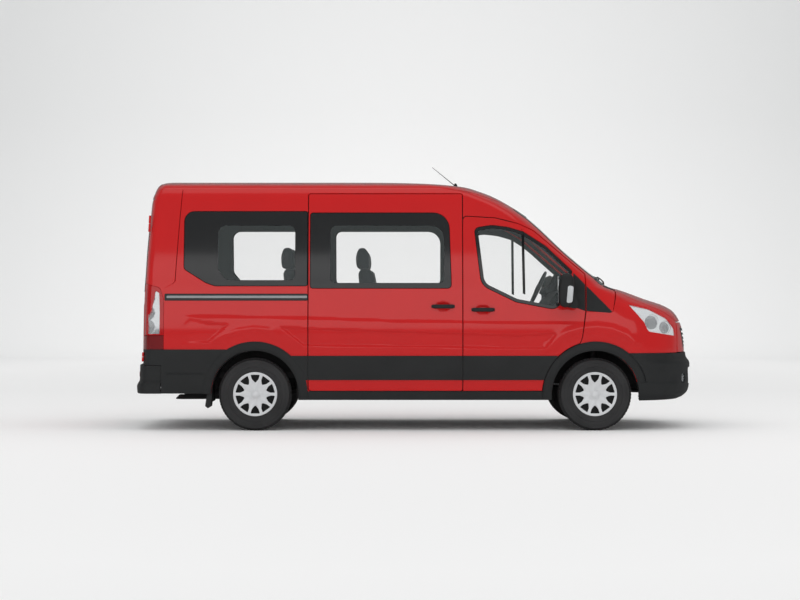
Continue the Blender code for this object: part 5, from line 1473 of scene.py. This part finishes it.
def cover_place(points):
    """The wheel cover's face: a star disc sunk towards the hub inside a rolled rim."""
    x, z = points.T
    radius = np.hypot(x, z)
    line = np.interp(radius, COVER_RADII, COVER_FACE)
    wave = np.sin(5 * (np.arctan2(z, x) - math.pi / 2))
    spoke = np.abs(wave)
    line = line + (
        0.0040 * step_up(spoke - 0.80, 0.30) * step_up(radius - 0.095, 0.05) * step_up(0.19 - radius, 0.03)
    )
    groove = np.exp(-(wave * radius / 0.012) ** 2)
    line = line - 0.0022 * groove * step_up(radius - 0.034, 0.012) * step_up(0.112 - radius, 0.03)
    return np.stack((x, line, z), 1)


def cover_windows():
    """The ten openings of the wheel cover."""
    corners = (
        (0.112, 0.06), (0.112, -0.06), (0.150, -0.225), (0.194, -0.245), (0.194, 0.245), (0.150, 0.225),
    )
    windows = []
    for index in range(10):
        middle = math.tau * index / 10 + math.pi / 2
        windows.append(rounded([
            (radius * math.cos(middle + turn), radius * math.sin(middle + turn), 0.007)
            for radius, turn in corners
        ], 4))
    return windows


def add_wheels():
    tyre = solid("tyre_form", revolved(tyre_form()), RUBBER, 28)
    low, high = TYRE_RADIUS - 0.0075, TYRE_RADIUS - 0.0012
    outline = [(-0.008, low), (0.006, low), (0.009, high), (-0.005, high)]
    shoulder = around(plate("tread_block", outline, 1, 0.086, 0.1005, 0.001, RUBBER, segments=1), 64)
    cover = panel("cover_form", [circle(0, 0, 0.2135, 96), *cover_windows()], cover_place, LEFT, SILVER,
                  spacing=0.0085, depth=0.012, edge=0.0015)
    rim = solid("rim_form", revolved([
        (0.0, 0.052), (0.190, 0.052), (0.205, 0.080), (0.2155, 0.085), (0.2155, -0.088), (0.204, -0.088),
        (0.196, 0.035), (0.0, 0.0355),
    ], 72), CHASSIS, 30)
    hub = solid("hub_form", revolved([
        (0.0, 0.0795), (0.020, 0.0795), (0.024, 0.0785), (0.026, 0.0765), (0.026, 0.0700), (0.0, 0.0700),
    ], 48), SILVER, 30)
    head = circle(0.062, 0, 0.0075, 6)
    studs = around(plate("bolt_head", head, 1, 0.060, 0.0735, 0.001, SILVER, segments=1), 5)
    # Each form with its finish, its pieces' name, and the name of the CAD nodes that it stands for
    forms = (
        (tyre, "tyre_rubber", "tyre", "tyre"), (shoulder, "tyre_rubber", "tread_blocks", None),
        (cover, "wheel_cover", "wheel_cover", "wheel"), (rim, "dark_steel", "rim", None),
        (hub, "wheel_cover", "hub_cap", None), (studs, "wheel_cover", "bolt_heads", None),
    )
    for end, x, y in (("front", FRONT_AXLE, FRONT_TRACK / 2), ("rear", REAR_AXLE, REAR_TRACK / 2)):
        for side, flip in SIDES:
            for form, slot, label, node in forms:
                piece = placed_copy(form, f"{label}_{end}_{side}", (x, y, TYRE_RADIUS), flip)
                finished(piece, f"{end}_wheel_{side}", slot, *([f"{node}_{end}_{side}"] if node else []))
    for form, *_ in forms:
        bpy.data.objects.remove(form)


# Distance of the mirror's middle from the vehicle's
MIRROR_Y = 1.158


def signed(value, power):
    """A power of the value's size that keeps its sign."""
    return math.copysign(abs(value) ** power, value)


def add_mirror(side, flip, door):
    """Housing, glass, turn lamp and arm of a door's mirror."""
    vertices, sides = [], 40
    for t in np.linspace(-1, 1, 19):
        x, z = 1.4450 + 0.010 * t, 1.360 + 0.1695 * t
        size = max(0.0, 1 - abs(t) ** 3.2) ** 0.45
        for step in range(sides):
            turn = math.tau * step / sides
            a, b = math.cos(turn), math.sin(turn)
            along = (abs(a) ** 0.7 if a > 0 else -abs(a) ** 0.35) * (0.074 * size)
            vertices.append((x + along, MIRROR_Y + signed(b, 0.6) * (0.0745 * size), z))
    mesh = skinned(vertices, sides)
    if flip:
        flipped(mesh)
    housing = solid(f"mirror_housing_{side}", mesh, GRAINED, 60)
    finished(housing, door, "black_plastic", f"mirror_{side}")
    outline = box(1.100, 1.235, 1.216, 1.495, 0.03)
    pane = plate(f"mirror_pane_{side}", outline, 0, 1.3670, 1.3700, 0.0008, MIRROR, flip)
    finished(pane, door, "mirror_glass")
    lens = rounded([(1.446, 1.236, 0.014), (1.500, 1.246, 0.016), (1.514, 1.398, 0.02), (1.458, 1.404, 0.02)])
    part(f"mirror_repeater_{side}", [lens], repeater_place, LEFT, REPEATER, door, "amber_lens",
         spacing=0.01, depth=0.004, edge=0.001, flip=flip)
    outline = rounded([
        (1.450, 1.200, 0.02), (1.545, 1.182, 0.02), (1.570, 1.225, 0.02), (1.525, 1.330, 0.03),
        (1.455, 1.335, 0.02),
    ])
    arm = plate(f"mirror_arm_{side}", outline, 1, 0.990, 1.140, 0.008, GRAINED, flip, 3)
    finished(arm, door, "black_plastic")


def add_corner_trims(side, flip, door):
    """Ribbed trim beside the mirror on door and wing, and the bar of the door's small window."""
    corner = rounded([
        (1.531, 1.530, 0.004), (1.905, 1.150, 0.006), (1.880, 1.143, 0.01), (1.640, 1.162, 0.01),
        (1.520, 1.205, 0.02),
    ])
    form = {"spacing": 0.008, "depth": 0.006, "edge": 0.001, "flip": flip}
    part(f"corner_trim_{side}", [corner, grown(front_door_line(), -0.004)], ribbed_place, LEFT, GRAINED,
         door, "black_plastic", keep=first_two, **form)
    part(f"wing_trim_{side}", [corner, grown(front_door_line(), 0.004 + SHUT_GAP)], ribbed_place, LEFT,
         GRAINED, "body", "black_plastic", **form)
    bar = rounded([
        (1.040, 1.330, 0.004), (1.062, 1.320, 0.004), (1.052, 1.955, 0.004), (1.030, 1.958, 0.004),
    ])
    side_part(f"quarter_light_bar_{side}", [bar], 0.0, GLOSS_BLACK, "black_gloss", body=door,
              spacing=0.03, depth=0.008, edge=0.002, flip=flip)


def add_hinges(side, flip):
    """Barrels of a rear door's two hinges: the lower half on the body, the upper on the door."""
    foot, lean = Vector((-2.651, 0.945, DOOR_LEVELS[0])), Vector((0.044, -0.053, 1.0))
    for number, (low, high) in enumerate(((0.668, 0.758), (1.930, 2.090)), 1):
        middle = (low + high) / 2
        heights = (low + 0.0005, middle - 0.0015, middle + 0.0015, high - 0.0005)
        barrel = [foot + lean * (z - DOOR_LEVELS[0]) for z in heights]
        for label, ends, body in (("low", barrel[:2], "body"), ("high", barrel[2:], f"rear_door_{side}")):
            piece = mirrored_tube(f"hinge_barrel_{label}_{number}_{side}", ends, 0.011, PAINT, flip)
            finished(piece, body, "body_paint")


def add_rail():
    """The sliding door's rail in its channel."""
    rear, front = BUMPER_SPLIT + 0.035, SLIDING_REAR - 0.010
    side_part("slide_rail_channel", [box(rear, 1.262, front, 1.325, 0.008)], 0.0015, GLOSS_BLACK,
              "black_gloss", spacing=0.04, depth=0.012, edge=0.003, flip=True)
    side_part("slide_rail", [box(rear + 0.02, 1.286, front - 0.004, 1.306, 0.004)], 0.0045, ANODISED,
              "bright_metal", spacing=0.04, depth=0.006, edge=0.002, flip=True)


def add_aerial():
    x = FRONT_AXLE - 1.330
    foot, reach = Vector((x, 0.0, 2.422)), Vector((-0.236, 0.0, 0.192))
    spots = [foot + reach * t for t in np.linspace(0, 1, 8)]
    mast = tube("aerial_mast", spots, np.linspace(0.0045, 0.0022, 8), GLOSS_BLACK)
    finished(mast, "body", "black_plastic", "antenna")
    profile = [(0.0, 2.452), (0.008, 2.450), (0.015, 2.440), (0.021, 2.425), (0.022, 2.405), (0.0, 2.405)]
    finished(solid("aerial_foot", revolved_up(profile, (x, 0.0)), GRAINED, 40), "body", "black_plastic")


def add_outside():
    """Mirrors, handles, rail, hinges and aerial."""
    for side, flip in SIDES:
        door = f"front_door_{side}"
        add_mirror(side, flip, door)
        add_corner_trims(side, flip, door)
        add_handle(f"door_handle_{side}", HANDLES[0], door, flip)
        add_hinges(side, flip)
        if flip:
            add_rail()
            add_handle("sliding_door_handle", HANDLES[1], "body", True)
    add_aerial()


def revolved_up(profile, centre, segments=32):
    """A profile of radius and height turned about an upright axis."""
    vertices, faces = [], []
    count = len(profile)
    for step in range(segments):
        turn = math.tau * step / segments
        vertices += [(centre[0] + r * math.cos(turn), centre[1] + r * math.sin(turn), z) for r, z in profile]
    for step in range(segments):
        here, after = step * count, (step + 1) % segments * count
        faces += [(here + i, here + i + 1, after + i + 1, after + i) for i in range(count - 1)]
    return mesh_of(vertices, faces)


def mirrored_tube(name, spots, radius, finish, flip):
    """A barrel between two spots, narrower at its ends, turned over for the right-hand side."""
    ends = [Vector((p.x, -p.y if flip else p.y, p.z)) for p in spots]
    line = [ends[0] + (ends[1] - ends[0]) * t for t in (0, 0.06, 0.94, 1)]
    return tube(name, line, [radius * 0.86, radius, radius, radius * 0.86], finish, 20)


def repeater_place(points):
    """The turn lamp on the mirror's shell, with upright prisms in its lens."""
    x, z = points.T
    bend = np.clip((x - 1.445) / 0.078, 0, 1) ** (2 / 0.7)
    y = MIRROR_Y + 0.0782 * (1 - bend) ** 0.3 - 0.0008 * (1 + np.cos(math.tau * x / 0.012))
    return np.stack((x, y, z), 1)


def ribbed_place(points):
    """The trim beside the mirror, with fine slanting ribs."""
    spots = BODY.side(points)
    x, z = points.T
    along = (x * 0.70 + z * 0.72) / 0.011
    spots[:, 1] += 0.0030 + 0.0010 * np.cos(math.tau * along)
    return spots


def add_handle(name, place, body, flip):
    """A pull handle over a shallow dimple: two feet and a bowed grip."""
    rear, front, height = place
    count, sides, most = 13, 16, 1.0435 - 0.010
    line = np.linspace(0, 1, count)
    lengths = rear + 0.014 + (front - rear - 0.028) * line
    surface = BODY.side(np.stack((lengths, np.full(count, height)), 1))
    bow = np.minimum(0.006 + 0.024 * np.sin(np.pi * line) ** 0.5, most - surface[:, 1])
    spots = surface + np.stack((line * 0, bow, line * 0), 1)
    vertices = []
    for (x, y, z), t in zip(spots, line):
        size = 1.0 - 0.35 * (2 * t - 1) ** 8
        for step in range(sides):
            turn = math.tau * step / sides
            thick, wide = signed(math.cos(turn), 0.6) * 0.009, signed(math.sin(turn), 0.6) * 0.0195
            vertices.append((x, y + thick * size, z + wide * size))
    mesh = skinned(vertices, sides)
    if flip:
        flipped(mesh)
    finished(solid(name, mesh, GRAINED, 45), body, "black_plastic")


# Cabin
def soft_block(name, outline, half):
    """A closed cushion form: an outline of length and height, given width and rounded."""
    block = plate(name, outline, 1, -half, half, 0.020, SEAT_CLOTH, segments=3)
    remesh = block.modifiers.new("skin", "REMESH")
    remesh.mode = "VOXEL"
    remesh.voxel_size = 0.014
    bpy.context.view_layer.update()
    mesh = evaluated(block)
    block.modifiers.clear()
    block.data = mesh
    mesh.materials.clear()
    mesh.materials.append(SEAT_CLOTH)
    return block


def stuffed(block):
    """Fills a cushion like a sewn cover over foam: its faces bulge, its seams pull in."""
    rest = [v.co.copy() for v in block.data.vertices]
    frames, most = 20, 0.016
    cloth = block.modifiers.new("cover", "CLOTH")
    cloth.settings.quality = 5
    cloth.settings.mass = 0.3
    cloth.settings.tension_stiffness = 40
    cloth.settings.compression_stiffness = 40
    cloth.settings.bending_stiffness = 2
    cloth.settings.use_pressure = True
    cloth.settings.uniform_pressure_force = 4
    cloth.settings.effector_weights.gravity = 0
    cloth.point_cache.frame_start, cloth.point_cache.frame_end = 1, frames
    scene = bpy.context.scene
    for number in range(1, frames + 1):
        scene.frame_set(number)
    mesh = evaluated(block)
    block.modifiers.clear()
    block.data = mesh
    for vertex, start in zip(mesh.vertices, rest):
        move = vertex.co - start
        if move.length > most:
            vertex.co = start + move * (most / move.length)
    mesh.shade_smooth()
    scene.frame_set(1)
    return block


def seat_parts():
    """Cushion, back and headrest of one seat, the foot of its back at the origin."""
    cushion = soft_block("seat_cushion", rounded([
        (-0.040, 0.958, 0.03), (0.470, 0.958, 0.04), (0.482, 1.040, 0.04), (0.080, 1.018, 0.03),
        (-0.020, 1.060, 0.03),
    ]), 0.205)
    back = soft_block("seat_back", rounded([
        (-0.020, 1.010, 0.03), (0.052, 1.030, 0.03), (-0.062, 1.585, 0.04), (-0.178, 1.600, 0.04),
        (-0.150, 1.300, 0.2),
    ]), 0.195)
    rest = soft_block("seat_headrest", rounded([
        (-0.204, 1.575, 0.03), (-0.078, 1.570, 0.03), (-0.084, 1.735, 0.04), (-0.125, 1.788, 0.03),
        (-0.190, 1.780, 0.03),
    ]), 0.130)
    return [stuffed(piece) for piece in (cushion, back, rest)]


def add_seats():
    """Front and rear seats, each a copy of one set of cushions on a plain base."""
    parts = seat_parts()
    front = FRONT_AXLE - 1.2025
    # CAD node, length, right and left end, number of places
    rows = (
        ("driver_seat", front, 0.180, 0.700, 1), ("passenger_seat", front, -0.750, 0.050, 2),
        ("seat_row_2", DOOR_REAR - 0.841, -0.580, 0.840, 3),
        ("seat_row_3", DOOR_REAR - 1.581, -0.660, 0.660, 3),
    )
    for node, x, low, high, count in rows:
        width = (high - low) / count
        for index in range(count):
            y, seat = low + (index + 0.5) * width, f"{node}_{index + 1}"
            for source in parts:
                piece = placed_copy(source, f"{seat}_{source.name.removeprefix('seat_')}", (x, y, 0))
                finished(piece, "body", "seat_fabric", *([node] if index == 0 and source is parts[0] else []))
            for label, offset in (("a", -0.045), ("b", 0.045)):
                spots = [Vector((x - 0.140, y + offset, z)) for z in (1.560, 1.60, 1.66)]
                post = tube(f"{seat}_post_{label}", spots, [0.006] * 3, SILVER)
                finished(post, "body", "bright_metal")
        outline = rounded([
            (x + 0.06, 0.603, 0.01), (x + 0.40, 0.603, 0.01),
            (x + 0.42, 0.945, 0.02), (x + 0.02, 0.945, 0.02),
        ])
        base = plate(f"{node}_base", outline, 1, low + 0.10, high - 0.10, 0.010, CABIN)
        finished(base, "body", "cabin_trim")
    for source in parts:
        bpy.data.objects.remove(source)


def add_cabin():
    """Seats, dashboard and steering wheel."""
    add_seats()
    back = FRONT_AXLE - 0.084
    dash = plate("dashboard_form", rounded([
        (back, 0.950, 0), (back, 1.343, 0.02), (back - 0.05, 1.383, 0.04), (back - 0.27, 1.343, 0.05),
        (back - 0.348, 1.240, 0.04), (back - 0.358, 1.050, 0.04), (back - 0.24, 0.862, 0.04),
        (back - 0.10, 0.802, 0.02),
    ]), 1, -0.738, 0.738, 0.010, CABIN)
    finished(dash, "body", "cabin_trim", "dashboard")
    hood = plate("instrument_hood", rounded([
        (back - 0.30, 1.335, 0.01), (back - 0.16, 1.380, 0.02), (back - 0.16, 1.405, 0.02),
        (back - 0.30, 1.400, 0.02),
    ]), 1, 0.30, 0.60, 0.012, CABIN)
    finished(hood, "body", "cabin_trim")

    lean = Vector((0.906, 0.0, -0.423)).normalized()
    turn = Vector((0, 1, 0)).rotation_difference(lean).to_matrix().to_4x4()
    at_wheel = Matrix.Translation((FRONT_AXLE - 0.4625, 0.450, 1.380)) @ turn
    angles = [math.tau * step / 16 for step in range(16)]
    ring = revolved([(0.1895 + 0.0125 * math.cos(angle), 0.0125 * math.sin(angle)) for angle in angles], 72)
    pad = revolved([(0.0, -0.026), (0.040, -0.024), (0.056, -0.012), (0.058, 0.020), (0.0, 0.026)], 48)
    shroud = revolved([(0.0, 0.030), (0.036, 0.030), (0.040, 0.060), (0.040, 0.19), (0.0, 0.19)], 32)
    for name, mesh, body, nodes in (
        ("steering_wheel_rim", ring, "steering_wheel", ["steering_wheel"]),
        ("steering_wheel_pad", pad, "steering_wheel", []), ("steering_column_shroud", shroud, "body", []),
    ):
        mesh.transform(at_wheel)
        finished(solid(name, mesh, CABIN, 40), body, "cabin_trim", *nodes)
    outline = rounded([
        (0.045, -0.016, 0.004), (0.185, -0.012, 0.004), (0.185, 0.012, 0.004), (0.045, 0.016, 0.004),
    ])
    for number, angle in enumerate((0, 90, 180), 1):
        spoke = plate(f"steering_wheel_spoke_{number}", outline, 1, -0.007, 0.007, 0.003, CABIN)
        spoke.data.transform(at_wheel @ Matrix.Rotation(math.radians(angle), 4, "Y"))
        finished(spoke, "steering_wheel", "cabin_trim")


# CAD nodes that stay as they are, with their finishes
KEPT_NODES = {
    "underframe": CHASSIS, "front_structure": CHASSIS, "front_subframe": CHASSIS, "rear_axle": CHASSIS,
    "exhaust": ANODISED, "fuel_tank": GRAINED, "floor_pan": CARPET, "engine_block": CASTING,
    "knuckle_left": CASTING, "knuckle_right": CASTING, "spare_wheel": RUBBER,
}


def dress_kept_nodes():
    for name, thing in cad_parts.items():
        finish = KEPT_NODES.get(name)
        if finish:
            thing.data.materials.clear()
            thing.data.materials.append(finish)


# Light of the surroundings, and how much of it reflections show
WORLD_LIGHT, WORLD_IN_GLOSS = 0.95, 0.10


# The camera looks at the right-hand side: its place, focal length and sensor width in mm
EYE, FOCAL_LENGTH, SENSOR_WIDTH = (-0.1515, -20.98, 1.266), 92.8, 36
# The floor's half width, where its backdrop starts and the radius of the sweep up to it
FLOOR_HALF, WALL_START, WALL_ROUND = 60.0, 24.0, 6.0


def add_floor():
    """Studio paper that runs up into the backdrop in one sweep, with painted light: it darkens away from the
    vehicle, shows mid grey in reflections, and its far part glows for the camera.
    """
    sweep = [(-FLOOR_HALF, 0.0), (WALL_START, 0.0)]
    turns = np.linspace(0.05, math.pi / 2, 24)
    sweep += [(WALL_START + WALL_ROUND * math.sin(t), WALL_ROUND - WALL_ROUND * math.cos(t)) for t in turns]
    sweep.append((WALL_START + WALL_ROUND, 40.0))
    vertices = [(x, y, z) for y, z in sweep for x in (-FLOOR_HALF, FLOOR_HALF)]
    faces = [(2 * i, 2 * i + 1, 2 * i + 3, 2 * i + 2) for i in range(len(sweep) - 1)]
    floor = bpy.data.meshes.new("floor")
    floor.from_pydata(vertices, [], faces)
    floor.shade_smooth()
    made = bpy.data.materials.new("studio_paper_painted_light")
    made.use_nodes = True
    tree = made.node_tree
    shader = tree.nodes["Principled BSDF"]
    place = add(tree, "ShaderNodeNewGeometry")
    # Painted shade: the paper's colour darkens from near white to pale grey with distance from a middle near
    # the vehicle
    around_it = add(tree, "ShaderNodeMapping", [("Vector", place, "Position")],
                    in_Location=(0.0, -4.4, -1.2), in_Scale=(1.25, 0.574, 1.0))
    away = add(tree, "ShaderNodeVectorMath", [("Vector", around_it, "Vector")], operation="LENGTH")
    fade = add(tree, "ShaderNodeMapRange", [("Value", away, "Value")], in_From_Min=11.0, in_From_Max=19.0)
    tones = add(tree, "ShaderNodeValToRGB", [("Fac", fade, "Result")])
    tones.color_ramp.elements[0].color = colour("F8F8F8")
    tones.color_ramp.elements[1].color = colour("D7D8D8")
    path = add(tree, "ShaderNodeLightPath")
    # Painted reflection: in reflections the paper shows mid grey, so the paint mirrors it dimmer than it is
    # lit
    seen = add(tree, "ShaderNodeMix", data_type="RGBA")
    tree.links.new(path.outputs["Is Glossy Ray"], seen.inputs[0])
    tree.links.new(tones.outputs["Color"], seen.inputs[6])
    seen.inputs[7].default_value = colour("8C8C8C")
    tree.links.new(seen.outputs[2], shader.inputs["Base Color"])
    # Painted light: seen straight from the camera, the far paper glows so that it looks as pale as the near
    # one, though less light reaches it
    split = add(tree, "ShaderNodeSeparateXYZ", [("Vector", place, "Position")])
    far = add(tree, "ShaderNodeMapRange", [("Value", split, "Y")],
              in_From_Min=8.0, in_From_Max=26.0, in_To_Max=0.13)
    painted_glow = add(tree, "ShaderNodeMath", [(0, far, "Result"), (1, path, "Is Camera Ray")],
                operation="MULTIPLY")
    tree.links.new(painted_glow.outputs["Value"], shader.inputs["Emission Strength"])
    shader.inputs["Emission Color"].default_value = (1.0, 1.0, 1.0, 1.0)
    shader.inputs["Roughness"].default_value = 0.95
    shader.inputs["Specular IOR Level"].default_value = 0.1
    floor.materials.append(made)
    linked("floor", floor)


def add_lamp(name, place, aim, size, power):
    light = bpy.data.lights.new(name, "AREA")
    light.shape = "RECTANGLE"
    light.size, light.size_y = size
    light.energy = power
    thing = linked(name, light)
    thing.location = place
    thing.rotation_euler = (Vector(aim) - Vector(place)).to_track_quat("-Z", "Y").to_euler()


def set_studio():
    """Camera, floor, backdrop and soft lights."""
    camera = bpy.data.cameras.new("camera")
    camera.lens = FOCAL_LENGTH
    camera.sensor_width = SENSOR_WIDTH
    camera.clip_end = 100
    eye = linked("camera", camera)
    eye.location = EYE
    eye.rotation_euler = (math.radians(90), 0, 0)
    bpy.context.scene.camera = eye
    add_floor()

    world = bpy.data.worlds.new("studio")
    bpy.context.scene.world = world
    world.use_nodes = True
    tree = world.node_tree
    background = tree.nodes["Background"]
    background.inputs["Color"].default_value = (1.0, 1.0, 1.0, 1)
    path = add(tree, "ShaderNodeLightPath")
    level = add(tree, "ShaderNodeMapRange", [("Value", path, "Is Glossy Ray")],
                in_To_Min=WORLD_LIGHT, in_To_Max=WORLD_IN_GLOSS)
    tree.links.new(level.outputs["Result"], background.inputs["Strength"])
    add_lamp("overhead_softbox", (0, -1.0, 7.5), (0, 0, 1), (9, 5), 68)
    add_lamp("front_softbox", (0, -25, 5.4), (0, 0, 1.2), (36, 5.5), 520)
    bpy.context.scene.view_settings.view_transform = "Standard"


side_panels()
add_roof()
add_windscreen()
add_bonnet_and_nose()
add_bumpers()
add_lamps()
add_claddings()
add_closings()
add_seals()
add_rear_doors()
add_wheels()
add_outside()
add_cabin()
dress_kept_nodes()
set_studio()
